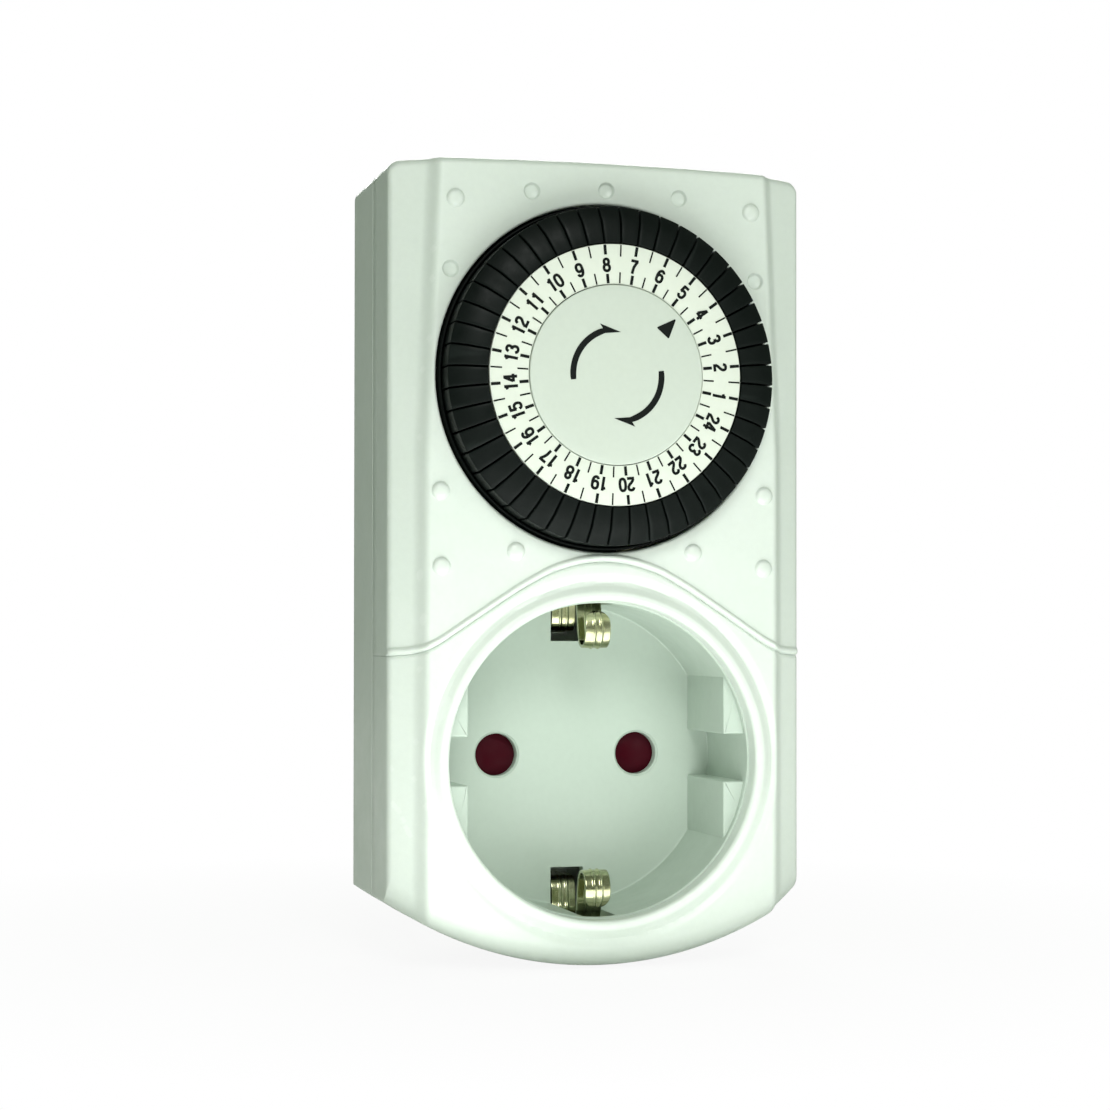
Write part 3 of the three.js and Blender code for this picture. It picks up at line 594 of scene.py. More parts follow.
# ---------------------------------------------------------------- front surface
BREAK_X, BREAK_Z = 23.7, 38.0            # line where the side slope starts; leans in above z
BREAK_LEAN, BREAK_RUN = 1.6, 38.0        # the lean, and the height it takes
STEP_W, STEP_D, SLOPE_D = 1.1, 1.5, 1.9  # step inside the line, drop of step, drop of slope
BEAD_OFFSET, BEAD_HALF, BEAD_H = 0.42, 0.46, 0.36     # bead above the seam
GROOVE_OFFSET, GROOVE_HALF, GROOVE_D = 0.15, 0.36, 0.30  # soft groove at the seam
RIM_VALLEY_R, RIM_VALLEY_W, RIM_VALLEY_D = 22.15, 1.0, 0.44  # valley round the socket rim


def front_y(x, z):
    """Front surface of both covers before the openings are cut."""
    side = np.abs(x)
    break_x = np.where(z <= BREAK_Z, BREAK_X, BREAK_X - BREAK_LEAN * (z - BREAK_Z) / BREAK_RUN)
    y = np.zeros_like(side)
    # the bends are softened by averaging over a small sideways span
    shifts = np.linspace(-0.42, 0.42, 15)
    for k in shifts:
        shifted = side + k
        step = np.clip((shifted - (break_x - STEP_W)) / STEP_W, 0, 1)
        slope = np.clip((shifted - break_x) / (HALF_W - break_x), 0, 1.2)
        y += PANEL_Y + STEP_D * step + SLOPE_D * slope
    y /= len(shifts)
    above = z - seam_z(x)
    bead = np.clip((above - BEAD_OFFSET) / BEAD_HALF, -1, 1)
    y -= np.where(np.abs(bead) < 1, BEAD_H * (1 - bead * bead) ** 0.8, 0)
    y += GROOVE_D * np.clip(1 - np.abs(above + GROOVE_OFFSET) / GROOVE_HALF, 0, 1) ** 1.3
    valley = np.clip(np.abs(np.hypot(x, z) - RIM_VALLEY_R) / RIM_VALLEY_W, 0, 1)
    y += RIM_VALLEY_D * 0.5 * (1 + np.cos(pi * valley)) * (above < -0.3)

    def roll(distance, radius):
        """Setback of a rounded edge at a distance from the outline."""
        over = np.clip(radius - distance, 0, radius)
        return radius - np.sqrt(np.maximum(radius * radius - over * over, 0))

    at_side = roll(HALF_W - side, SIDE_ROUND)
    at_top = roll(top_z(x) - z, TOP_ROUND)
    at_base = np.where(z < 0, roll(BASE_R - np.hypot(x, z - BASE_CZ), BASE_ROUND), 0)
    return y + np.maximum(np.maximum(at_side, at_top), at_base)


def edge_steps(radius, count):
    """Spacing that is finest at the outline."""
    return radius * (1 - np.cos(np.linspace(0, pi / 2, count + 1)))


def shrink(loop, inset):
    """Loop drawn in by scaling, so that close points never fold over."""
    low, high = loop[:, 1].min(), loop[:, 1].max()
    middle = np.array([0.0, (high + low) / 2])
    size = np.array([HALF_W, (high - low) / 2])
    return middle + (loop - middle) * (1 - inset / size)


def front_block():
    """Both front covers as one solid: a grid for the front, then walls back to the split."""
    half = np.concatenate([edge_steps(SIDE_ROUND, 7), np.arange(0.72, 7.3, 0.17),
                           np.arange(7.4, HALF_W - 0.15, 0.27), [HALF_W]])
    x = np.concatenate([-HALF_W + half, (HALF_W - half)[::-1][1:]])
    base, top, seam = base_z(x), top_z(x), seam_z(x)
    below, above = seam - 0.9, seam + 1.4
    low_n, high_n = 96, 190
    rows = [base + d for d in edge_steps(BASE_ROUND, 14)]
    rows += [base + BASE_ROUND + (below - base - BASE_ROUND) * k / low_n
             for k in range(1, low_n + 1)]
    rows += [seam + t for t in np.arange(-0.8, 1.45, 0.075)]
    rows += [above + (top - TOP_ROUND - above) * k / high_n for k in range(1, high_n + 1)]
    rows += [top - d for d in edge_steps(TOP_ROUND, 8)[::-1][1:]]
    z = np.array(rows)
    x = np.broadcast_to(x, z.shape)
    grid = np.c_[x.ravel(), front_y(x, z).ravel(), z.ravel()]
    index = np.arange(z.size).reshape(z.shape)
    polys = [np.c_[index[:-1, :-1].ravel(), index[:-1, 1:].ravel(),
                   index[1:, 1:].ravel(), index[1:, :-1].ravel()]]
    border = np.concatenate([index[0, :-1], index[:-1, -1], index[-1, :0:-1], index[:0:-1, 0]])
    edge_y, edge = grid[border, 1], grid[border][:, [0, 2]]
    back = SPLIT_Y - 0.08
    levels = [(edge_y + (back - 0.16 - edge_y) * part, edge)
              for part in (0.12, 0.3, 0.5, 0.75, 1.0)]
    levels += [(back - 0.05, shrink(edge, 0.05)), (back, shrink(edge, 0.16))]
    verts, total, previous = [grid], len(grid), border
    for y, loop in levels:
        verts.append(at_y(loop, y))
        current = np.arange(len(border)) + total
        total += len(border)
        polys.append(np.c_[previous, current, np.roll(current, -1), np.roll(previous, -1)])
        previous = current
    polys.append(previous[::-1])
    return solid("front_block", np.concatenate(verts), polys)


# ---------------------------------------------------------------- front covers
# x, z of the raised domes and the sunk dimples
DOMES = [(-19.2, 69.1), (19.2, 69.1), (-21.0, 33.2), (21.0, 33.2),
         (-11.5, 25.9), (11.5, 25.9), (-20.9, 24.0), (20.9, 24.0)]
DIMPLES = [(-9.5, 70.4), (0.1, 70.9), (9.6, 70.4), (-19.8, 60.4), (19.8, 60.4)]
# r, y from the front surface
DOME_PROFILE = [(0, -0.50), (0.45, -0.48), (0.80, -0.39), (1.02, -0.22), (1.12, -0.04),
                (1.18, 0.05), (1.18, 0.6), (0, 0.6)]
DIMPLE_PROFILE = [(0, 0.55), (0.62, 0.52), (0.86, 0.39), (0.98, 0.12), (1.08, -0.005),
                  (1.3, -0.05), (1.3, -1.0), (0, -1.0)]
# r, y, corner radius
RIM_PROFILE = [(18.9, -22.0), (18.9, -25.9), (20.0, RIM_Y, 0.05), (20.95, RIM_Y, 0.9),
               (21.7, -25.50, 0.5), (22.12, -25.285, 0.1), (22.3, -24.9), (22.3, -22.0)]


def on_front(profile, x, z):
    """Small turned shape placed on the front surface."""
    y = float(front_y(np.array([x]), np.array([z]))[0])
    return lathe("spot", [(r, y + dy) for r, dy in profile], 40, x, z)


def seam_tool(offset, below):
    """Everything below, or above, the seam line moved up by offset."""
    xs = np.linspace(-29, 29, 233)
    points = list(zip(xs, seam_z(xs) + offset))
    if below:
        points = [(-29, -40), (29, -40)] + points[::-1]
    else:
        points = [(29, 90), (-29, 90)] + points
    return prism("seam", points, -40, 5)


def cavity_tools():
    """Hollow of the covers: full width at the back, narrower near the front."""
    wide = prism("cavity", inner_outline(), -21.2, -8)
    limit = 21.3
    points = []
    for x, z in inner_outline():
        x = max(-limit, min(limit, x))
        if not points or hypot(x - points[-1][0], z - points[-1][1]) > 1e-6:
            points.append((x, z))
    return wide, prism("cavity", points, PANEL_Y + WALL, -20.9)


def add_screw_bosses(cover, radius, screws, *joined_first):
    union(cover, *joined_first,
          *[cylinder(radius, -21.4, -13.3, x, z, 48, round1=0.2) for _, x, z in screws])
    boolean(cover, *[cylinder(1.3, -20.6, -12, x, z, 32) for _, x, z in screws])


def upper_cover(block):
    cover = copy_of(block, "upper_cover")
    lip_r = 0.36    # rounded edge of the dial opening
    lip = [(22.01 - lip_r * cos(a), -25.34 - lip_r * sin(a)) for a in np.linspace(pi / 2, 0, 7)]
    opening = [(0, -30), (22.03, -30), (22.03, -25.72)] + lip + [(21.65, -20.8), (0, -20.8)]
    boolean(cover, seam_tool(-0.14, True), lathe("opening", opening, 256, 0, DIAL_Z),
            *cavity_tools(), *[on_front(DIMPLE_PROFILE, x, z) for x, z in DIMPLES])
    add_screw_bosses(cover, 2.7, SCREWS[:2], *[on_front(DOME_PROFILE, x, z) for x, z in DOMES])
    finish_piece(tidy(cover), SHELL, "housing", "upper_front_cover")


def lower_cover(block):
    cover = copy_of(block, "lower_cover")
    boolean(cover, seam_tool(-0.165, False), *cavity_tools())
    union(cover, lathe("rim", RIM_PROFILE, 256, steps=7))
    lip_r, lip_y = RIM_IN_R + 0.66, -25.35
    lip = [(20.5 - 0.66 * sin(a), lip_y - 0.66 * cos(a)) for a in np.linspace(0, pi / 2, 8)]
    opening = [(0, -28), (lip_r, -28), (lip_r, lip_y - 0.66)] + lip
    opening += [(RIM_IN_R, -20.5), (0, -20.5)]
    boolean(cover, lathe("opening", opening, 256))
    add_screw_bosses(cover, 2.6, SCREWS[2:])
    finish_piece(tidy(cover), SHELL, "housing", "lower_front_cover")


# ---------------------------------------------------------------- rear shell
BACK_INSET = 0.1    # the walls sit this far inside the bead along the parting line
BACK_ROUND = 0.7
# y, inset of the outline
REAR_LEVELS = [(SPLIT_Y, BACK_INSET), (-12.96, 0.05), (-12.88, 0.0), (-12.4, 0.0),
               (-12.32, 0.03), (-12.24, BACK_INSET), (-11.6, BACK_INSET), (-8, BACK_INSET),
               (-4, BACK_INSET), (-BACK_ROUND, BACK_INSET)]
# r, y of the bore round a plug pin, and of the screw holes
PIN_BORE = [(0, 12.0), (2.45, 12.0), (2.45, 15.7), (2.95, 16.2), (2.95, 17), (0, 17)]
SCREW_BORE = [(0, -14), (1.6, -14), (1.6, -2.4), (2.9, -2.4), (2.9, -0.25), (3.2, 0.05),
              (3.2, 1), (0, 1)]
INNER_POSTS = [(-20.0, 60.0), (21.8, 33.5), (-20.0, 29.0)]    # x, z


def rear_shell():
    levels = REAR_LEVELS + [
        (-BACK_ROUND + BACK_ROUND * sin(a), BACK_INSET + BACK_ROUND * (1 - cos(a)))
        for a in np.linspace(0, pi / 2, 11)[1:]]
    rear = loft("rear_shell", [at_y(np.array(outline(inset)), y) for y, inset in levels])
    boolean(rear, prism("cavity", inner_outline(), -14, -WALL))
    union(rear, cylinder(18.3, -2.0, 16.0, seg=256, round1=0.9, steps=7))   # plug body
    boolean(
        rear,
        cylinder(14.6, -3.0, 13.0, round1=0.6),
        # flats on both sides of the plug body
        *[box(x0, x1, 0.0005, 18, -10.9, 10.9, 0.35) for x0, x1 in ((16.4, 23), (-23, -16.4))],
        # openings and channels for the earth springs
        *[box(-1.85, 1.85, -3.0, 0.4, z0, z1) for z0, z1 in ((15.8, 17.1), (-17.1, -15.8))],
        *[box(-2.6, 2.6, 0.1, 13.2, z0, z1, 0.3) for z0, z1 in ((15.7, 19.5), (-19.5, -15.7))],
        *[lathe("bore", PIN_BORE, 64, x) for x in (PIN_X, -PIN_X)],
    )
    union(
        rear,
        *[cylinder(3.6, -6.2, -1.5, x, z, 48, round0=0.2) for _, x, z in SCREWS],
        *[cylinder(2.7, SPLIT_Y, -6.0, x, z, 48) for _, x, z in SCREWS],
        *[cylinder(1.8, -11.9, -1.5, x, z, 32) for x, z in INNER_POSTS],
    )
    boolean(rear, *[lathe("bore", SCREW_BORE, 48, x, z) for _, x, z in SCREWS])
    finish_piece(tidy(rear), SHELL, "housing", "rear_housing", weighted=True)


# ---------------------------------------------------------------- socket well
# r, y[, corner radius]
WELL_PROFILE = [(0, -8.5), (WELL_R, -8.5, 0.25), (WELL_R, -23.4, 0.3), (21.2, -23.4),
                (21.2, -7.0), (0, -7.0)]
WELL_HOLE = [(0, -9.5), (3.05, -9.5), (3.05, -8.52), (2.98, -8.40), (2.80, -8.28),
             (2.75, -8.1), (2.75, -6.0), (0, -6.0)]


def socket_well():
    well = lathe("socket_insert", WELL_PROFILE, 256, steps=6)
    keys = []   # four blocks standing in from the left and right of the wall
    for side_x in (1, -1):
        for side_z in (1, -1):
            points = [(side_x * x, side_z * z) for x, z in rect(16.7, 20.4, 3.0, 10.3)]
            key = prism("key", points, -22.5, -8.0, round0=0.28, corner=0.22)
            keys.append(boolean(key, cylinder(20.4, -24, -6, seg=192), operation="INTERSECT"))
    union(well, *keys)
    union(well, cylinder(1.5, -7.5, -3.0, seg=48, round1=0.2))
    slots = []  # through the floor and up the wall, above and below the axis
    for side in (1, -1):
        slots.append(box(-2.2, 2.2, -8.51, -5.0, side * 14.77, side * 24, 0.12))
        slots.append(box(-2.2, 2.2, -23.1, -5.0, side * 18.4, side * 24, 0.05))
    boolean(well, *[lathe("hole", WELL_HOLE, 96, x) for x in (PIN_X, -PIN_X)], *slots)
    # the well's darker colour is painted shade for the recess
    finish_piece(tidy(well), SHADED_WELL, "housing", "socket_well", weighted=True)


# ---------------------------------------------------------------- dial wheel, ring and disc
RING_OUT_R, RING_FRONT = 16.07, -30.35
DISC_R, DISC_FRONT = 11.05, -30.57
GEAR_MODULE, GEAR_TEETH, GEAR_TURN = 0.6, 48, -50.25
# share of the tooth pitch, r from the pitch circle in modules
TOOTH = [(-0.34, -1.1), (-0.25, 0), (-0.1, 0.85), (0.1, 0.85), (0.25, 0), (0.34, -1.1)]
WINDOW_HALF_DEG = 5.6


def on_dial(radius, angle):
    """(x, z) at an angle in degrees, anticlockwise from the right."""
    return radius * cos(radians(angle)), DIAL_Z + radius * sin(radians(angle))


def ring(r0, r1, y0, y1, seg=192, corner=0.0, name="ring"):
    profile = [(r0, y0, corner), (r1, y0, corner), (r1, y1, corner), (r0, y1, corner)]
    return lathe(name, profile, seg, 0, DIAL_Z, steps=4)


def wedge(a0, a1, r0, r1):
    outer = [on_dial(r1, a0 + (a1 - a0) * i / 4) for i in range(5)]
    return outer + [on_dial(r0, a0 + (a1 - a0) * i / 4) for i in range(4, -1, -1)]


def gear_outline():
    pitch, pitch_r = 2 * pi / GEAR_TEETH, GEAR_MODULE * GEAR_TEETH / 2
    points = []
    for i in range(GEAR_TEETH):
        centre = radians(GEAR_TURN) + 2 * pi * i / GEAR_TEETH
        for share, rise in TOOTH:
            a, r = centre + share * pitch, pitch_r + rise * GEAR_MODULE
            points.append((r * cos(a), DIAL_Z + r * sin(a)))
    return points


def dial_wheel():
    wheel = ring(2.1, 16.05, -29.4, -28.4, name="wheel")
    union(
        wheel,
        ring(2.1, 4.0, -29.15, -17.2),
        ring(15.4, 16.05, -29.15, -22.0),
        ring(3.5, 21.35, -22.6, -21.6),
        ring(21.05, 21.35, -25.9, -22.0, 256, 0.1),
        ring(3.5, 10.0, -22.0, -18.2),
    )
    gear = prism("gear", gear_outline(), -18.8, -17.2)
    union(wheel, boolean(gear, ring(0.0, 3.6, -20, -16, 96)))
    windows = []
    for k in range(HOURS):
        centre = HOUR_PHASE + HOUR_DEG / 2 + HOUR_DEG * k
        points = wedge(centre - WINDOW_HALF_DEG, centre + WINDOW_HALF_DEG, 17.9, 20.7)
        windows.append(prism("window", points, -23.5, -21))
    boolean(wheel, *windows)
    holes = [on_dial(12.6, 60 * k + 20) for k in range(6)]
    boolean(wheel, *[cylinder(2.0, -23.5, -21, x, z, 48) for x, z in holes])
    finish_piece(tidy(wheel), WHEEL, "dial", "dial_wheel")


def number_ring():
    hours = ring(11.15, RING_OUT_R, RING_FRONT, -29.55, 256, 0.09, name="hour_ring")
    finish_piece(hours, RING, "dial", "number_ring")


def centre_disc():
    profile = [(0, DISC_FRONT), (9.8, DISC_FRONT), (DISC_R, -30.52, 0.14), (DISC_R, -29.75),
               (0, -29.75)]
    disc = lathe("middle_disc", profile, 256, 0, DIAL_Z, steps=6)
    finish_piece(disc, DISC, "housing", "centre_disc")


# ---------------------------------------------------------------- printed marks, raised ink
INK_SINK = 0.005                       # the ink's base sits this far behind the face
RING_INK_Y, RING_INK_H = RING_FRONT + INK_SINK, 0.03
DISC_INK_Y = DISC_FRONT + INK_SINK
STROKE_W = 0.35
DIGIT_SCALE, DIGIT_PITCH, DIGIT_R = 1.1, 1.08, 13.5
TICK_IN_R, TICK_OUT_R = 11.25, 15.98


def straight(start, end):
    (x0, y0), (x1, y1) = start, end
    return [(x0 + (x1 - x0) * k / 3, y0 + (y1 - y0) * k / 3) for k in range(3)] + [end], False


def curve(*points):
    return smooth_path(points, 5), False


def oval(y, half_w, half_h, power=2.35):
    """Superellipse on the digit's centre line."""
    points = []
    for k in range(28):
        a = radians(360.0 * k / 28)
        points.append((half_w * copysign(abs(cos(a)) ** (2 / power), cos(a)),
                       y + half_h * copysign(abs(sin(a)) ** (2 / power), sin(a))))
    return points, True


SIX = [oval(-0.25, 0.33, 0.41),
       curve((-0.33, -0.25), (-0.325, 0.15), (-0.22, 0.50), (0.02, 0.655), (0.24, 0.56),
             (0.31, 0.40))]
# centre lines inside +-0.34 across and +-0.66 up: (points, closed) strokes
DIGITS = {
    "0": [oval(0, 0.33, 0.66, power=2.5)],
    "1": [straight((0.07, -0.79), (0.07, 0.79)),
          curve((0.09, 0.70), (-0.05, 0.52), (-0.25, 0.42))],
    "2": [curve((-0.32, 0.36), (-0.22, 0.58), (0.01, 0.66), (0.24, 0.58), (0.32, 0.34),
                (0.20, 0.06), (-0.12, -0.26), (-0.30, -0.56)),
          straight((-0.40, -0.66), (0.42, -0.66))],
    "3": [curve((-0.31, 0.38), (-0.20, 0.60), (0.02, 0.66), (0.24, 0.56), (0.29, 0.34),
                (0.19, 0.13), (-0.02, 0.06)),
          curve((-0.02, 0.06), (0.22, -0.01), (0.34, -0.28), (0.24, -0.56), (0.0, -0.66),
                (-0.24, -0.58), (-0.34, -0.36))],
    "4": [straight((0.15, -0.79), (0.15, 0.79)),
          straight((-0.42, -0.34), (0.44, -0.34)),
          straight((0.12, 0.72), (-0.35, -0.30))],
    "5": [straight((-0.30, 0.66), (0.36, 0.66)),
          straight((-0.23, 0.76), (-0.30, -0.02)),
          curve((-0.32, -0.02), (-0.14, 0.14), (0.10, 0.15), (0.30, -0.02), (0.33, -0.30),
                (0.22, -0.58), (-0.02, -0.66), (-0.24, -0.58), (-0.34, -0.36))],
    "6": SIX,
    "7": [straight((-0.42, 0.66), (0.44, 0.66)),
          curve((0.34, 0.64), (0.14, 0.28), (-0.02, -0.12), (-0.10, -0.79))],
    "8": [oval(0.35, 0.27, 0.31, power=2.2), oval(-0.31, 0.33, 0.35, power=2.2)],
    "9": [([(-a, -b) for a, b in points], closed) for points, closed in SIX],
}


def upright_at(angle, radius, shift=0.0):
    """Maps (across, up) to (x, z) at a place on the dial, with up pointing outwards."""
    a = radians(angle)
    centre_x, centre_z = radius * cos(a), DIAL_Z + radius * sin(a)

    def place(point):
        across, up = point[0] + shift, point[1]
        return (centre_x + sin(a) * across + cos(a) * up,
                centre_z - cos(a) * across + sin(a) * up)
    return place


def ink_stroke(points, place, width=STROKE_W, closed=False):
    """Raised stroke on the number ring along points moved by place."""
    path = np.asarray(points, float)
    if closed:
        along = np.roll(path, -1, 0) - np.roll(path, 1, 0)
    else:
        along = np.gradient(path, axis=0)
    along /= np.linalg.norm(along, axis=1, keepdims=True)
    normal = np.c_[-along[:, 1], along[:, 0]]
    sides = path + normal * width / 2, path - normal * width / 2
    left, right = ([place(p) for p in side] for side in sides)
    front = RING_INK_Y - RING_INK_H
    if not closed:
        return prism("stroke", left + right[::-1], front, RING_INK_Y)
    verts = [(x, y, z) for loop in (left, right) for y in (front, RING_INK_Y) for x, z in loop]
    count = len(path)
    i = np.arange(count)
    # left front, left back, right front, right back, and the next point of each
    lf, lb, rf, rb = (i + k * count for k in range(4))
    lf2, lb2, rf2, rb2 = ((i + 1) % count + k * count for k in range(4))
    return solid("stroke", verts, [np.c_[lf, lf2, lb2, lb], np.c_[rf, rb, rb2, rf2],
                                   np.c_[lf, rf, rf2, lf2], np.c_[lb, lb2, rb2, rb]])


def hour_number(hour, angle):
    text = str(hour)
    made = []
    for k, char in enumerate(text):
        place = upright_at(angle, DIGIT_R, (k - (len(text) - 1) / 2) * DIGIT_PITCH)
        strokes = [
            ink_stroke([(DIGIT_SCALE * a, DIGIT_SCALE * b) for a, b in points], place,
                       closed=closed)
            for points, closed in DIGITS[char]]
        if len(strokes) > 1:
            union(*strokes)
        made.append(strokes[0])
    return made


def hour_marks():
    """Numbers, and ticks along both edges of the ring at every hour and half hour."""
    marks = []
    for hour in range(1, HOURS + 1):
        angle = HOUR_PHASE + 90 + (hour - 8) * HOUR_DEG
        marks += hour_number(hour, angle)
        # angle, width, length of the inner tick, length of the outer tick
        for tick, width, inner, outer in ((angle, 0.37, 1.15, 1.2),
                                          (angle + HOUR_DEG / 2, 0.19, 1.35, 1.45)):
            for r0, r1 in ((TICK_IN_R, TICK_IN_R + inner), (TICK_OUT_R - outer, TICK_OUT_R)):
                points, _ = straight((0, r0), (0, r1))
                marks.append(ink_stroke(points, upright_at(tick, 0), width))
    finish_piece(join("hour_marks", *marks), INK, "dial")


# (x, z) from the dial's centre
TRIANGLE = [(7.63, 7.16), (5.05, 5.97), (6.64, 4.59)]
ARROW_HEAD = [(0.48, 5.24), (-2.2, 6.2), (-1.78, 5.58), (-1.68, 5.04)]
ARROW_R = 5.6
ARROW_WIDTHS = np.concatenate([[0.66, 0.74], np.full(19, 0.76), [0.72, 0.65, 0.56]])


def disc_ink(points, turn=0, shift_x=0.0, shift_z=0.0, corner=0.0):
    c, s = cos(radians(turn)), sin(radians(turn))
    placed = [(shift_x + x * c - z * s, DIAL_Z + shift_z + x * s + z * c) for x, z in points]
    return prism("mark", placed, DISC_INK_Y - 0.035, DISC_INK_Y + 0.02, corner=corner)


def arrow(turn, shift_x, shift_z):
    angles = [radians(a) for a in np.linspace(187.5, 104, 24)]
    arc = np.array([(ARROW_R * cos(a), ARROW_R * sin(a)) for a in angles])
    reach = arc / np.linalg.norm(arc, axis=1, keepdims=True) * ARROW_WIDTHS[:, None] / 2
    shaft = np.concatenate([arc + reach, (arc - reach)[::-1]])
    return union(disc_ink(shaft, turn, shift_x, shift_z),
                 disc_ink(ARROW_HEAD, turn, shift_x, shift_z))


def disc_marks():
    marks = join("disc_marks", disc_ink(TRIANGLE, corner=0.12), arrow(0, -0.02, 0.0),
                 arrow(180, 0.1, -0.12))
    finish_piece(marks, INK, "housing")


# ---------------------------------------------------------------- tappets
TAPPET_GAP = 0.115    # taken off each side of a segment
# r, y
TAPPET_PROFILE = [(16.25, -25.3), (16.25, -30.5), (19.0, -30.05), (20.9, -28.95),
                  (20.9, -25.3)]


def tappet_segment(a0, a1):
    steps = 5
    loops = []
    for k in range(steps + 1):
        loop = []
        for r, y in TAPPET_PROFILE:
            trim = degrees(TAPPET_GAP / r)
            x, z = on_dial(r, a0 + trim + (a1 - a0 - 2 * trim) * k / steps)
            loop.append((x, y, z))
        loops.append(loop)
    return bevel(loft("seg", loops, reverse_caps=True), width=0.11, segments=3, angle=25)


def tappets():
    """Two segments to the hour on one foot, repeated round the dial."""
    unit = tappet_segment(0, HOUR_DEG / 2)
    foot = prism("foot", wedge(2.6, 12.4, 18.2, 20.4), -25.8, -21.2)
    union(unit, tappet_segment(HOUR_DEG / 2, HOUR_DEG),
          prism("bridge", wedge(3, 12, 16.6, 20.6), -26.2, -25.4),
          bevel(foot, width=0.2, segments=2, angle=30))
    tidy(unit)
    to_dial = Matrix.Translation((0, 0, DIAL_Z * MM))
    for k in range(HOURS):
        hour = (k + 1) % HOURS + 1
        pair = copy_of(unit, f"segment_pair_{hour:02d}")
        # anticlockwise seen from the front is a turn about -Y
        turn = Matrix.Rotation(-radians(HOUR_PHASE + HOUR_DEG * k), 4, "Y")
        pair.data.transform(to_dial @ turn @ to_dial.inverted())
        finish_piece(pair, TAPPET, f"tappet_{hour:02d}_body", f"tappet_{hour:02d}",
                     sharp=28)
    drop(unit)


# ---------------------------------------------------------------- earth springs
# y, z along the upper strip, from the socket to the plug side
EARTH_PATH = [
    (-21.6, 18.6), (-22.35, 17.6), (-22.6, 16.2), (-22.15, 14.9), (-21.2, 14.2),
    (-20.1, 14.25), (-19.3, 15.1), (-18.8, 16.8), (-18.5, 18.8), (-17.9, 20.3),
    (-16.8, 20.9), (-12.7, 20.92), (-8.6, 20.9), (-7.5, 20.5), (-7.0, 19.6), (-6.8, 17.6),
    (-6.2, 16.6), (-5.2, 16.3), (-0.4, 16.3), (0.9, 17.1), (2.2, 17.65), (7.4, 17.7),
    (12.6, 17.75),
]
EARTH_HALF_W = 1.64
EARTH_RIB_X, EARTH_RIB_H, EARTH_RIB_W = 0.45, 0.13, 0.15


def earth_section():
    """Strip section (across, out): slight crown and two ribs."""
    top = []
    for x in np.linspace(-EARTH_HALF_W + 0.06, EARTH_HALF_W - 0.06, 49):
        rib = sum(EARTH_RIB_H * exp(-((x - c) / EARTH_RIB_W) ** 2)
                  for c in (-EARTH_RIB_X, EARTH_RIB_X))
        top.append((x, 0.20 - 0.05 * (x / EARTH_HALF_W) ** 2 + rib))
    low = [(x, v - 0.40) for x, v in top[::-1]]
    loop = [(-EARTH_HALF_W, -0.1), (-EARTH_HALF_W, 0.1)] + top
    loop += [(EARTH_HALF_W, 0.1), (EARTH_HALF_W, -0.1)] + low
    return np.array([(x, max(min(v, 0.34), -0.24)) for x, v in loop])


def end_taper(distance, length, least):
    """Round taper over the first length of the strip, never below least."""
    if distance > length:
        return 1.0
    return max(least, sqrt(max(0.0, 1 - (1 - distance / length) ** 2)))


def earth_spring(name, side, node):
    """side is 1 above the socket axis, -1 below."""
    path = smooth_path([(y, side * z) for y, z in EARTH_PATH], 7)
    kept = [0]
    for k in range(1, len(path)):
        if np.linalg.norm(path[k] - path[kept[-1]]) > 0.12:
            kept.append(k)
    path = path[kept]
    along = np.gradient(path, axis=0)
    along /= np.linalg.norm(along, axis=1, keepdims=True)
    lengths = np.linalg.norm(np.diff(path, axis=0), axis=1)
    distances = np.concatenate([[0], np.cumsum(lengths)])
    section = earth_section()
    loops = []
    for (y, z), (along_y, along_z), distance in zip(path, along, distances):
        width = end_taper(distance, 1.9, 0.28)
        thickness = end_taper(distance, 0.35, 0.35) * side
        across = np.array((width, 0, 0))
        out = np.array((0, along_z * thickness, -along_y * thickness))
        loops.append(np.array((0, y, z)) + section[:, :1] * across + section[:, 1:] * out)
    strip = loft(name, loops, reverse_caps=True)
    finish_piece(strip, NICKEL, "housing", node, sharp=50)


# ---------------------------------------------------------------- shutter, pins, screws
# x, z
VANE = [(-12.9, -2.0), (-11.6, -3.3), (-6.6, -3.3), (-3.2, -3.2), (3.2, -3.2), (6.6, -3.3),
        (11.6, -3.3), (12.9, -2.0), (12.9, 2.0), (11.6, 3.3), (-11.6, 3.3), (-12.9, 2.0)]
# r, y[, corner radius]
VANE_DIMPLE = [(0, -6.75), (1.5, -6.75), (1.2, -6.6), (0, -6.55)]
PIN_PROFILE = [(0, 11.2), (3.3, 11.2, 0.2), (3.3, 12.8, 0.2), (2.4, 12.8), (2.4, 33.0, 1.2),
               (1.75, 34.7, 0.7), (0.9, 35.0, 0.3), (0, 35.0)]
SCREW_PROFILE = [(0, -20.0), (0.5, -19.9), (1.22, -18.6), (1.22, -2.3), (2.6, -2.3, 0.12),
                 (2.6, -1.25, 0.25), (1.9, -0.82, 0.3), (0, -0.8)]
# x, z from the screw's axis: cross recess
CROSS = [(-1.45, -0.3), (-0.42, -0.3), (-0.3, -0.42), (-0.3, -1.45), (0.3, -1.45),
         (0.3, -0.42), (0.42, -0.3), (1.45, -0.3), (1.45, 0.3), (0.42, 0.3), (0.3, 0.42),
         (0.3, 1.45), (-0.3, 1.45), (-0.3, 0.42), (-0.42, 0.3), (-1.45, 0.3)]


def shutter():
    vane = prism("vane", VANE, -6.7, -5.4, round0=0.22, round1=0.15, corner=0.5)
    union(vane, cylinder(3.6, -6.7, -5.1, seg=96, round1=0.2))
    boolean(vane, cylinder(1.65, -8, -4, seg=64),
            *[lathe("dimple", VANE_DIMPLE, 48, x) for x in (-PIN_X, PIN_X)])
    finish_piece(vane, MAROON, "shutter", "shutter")


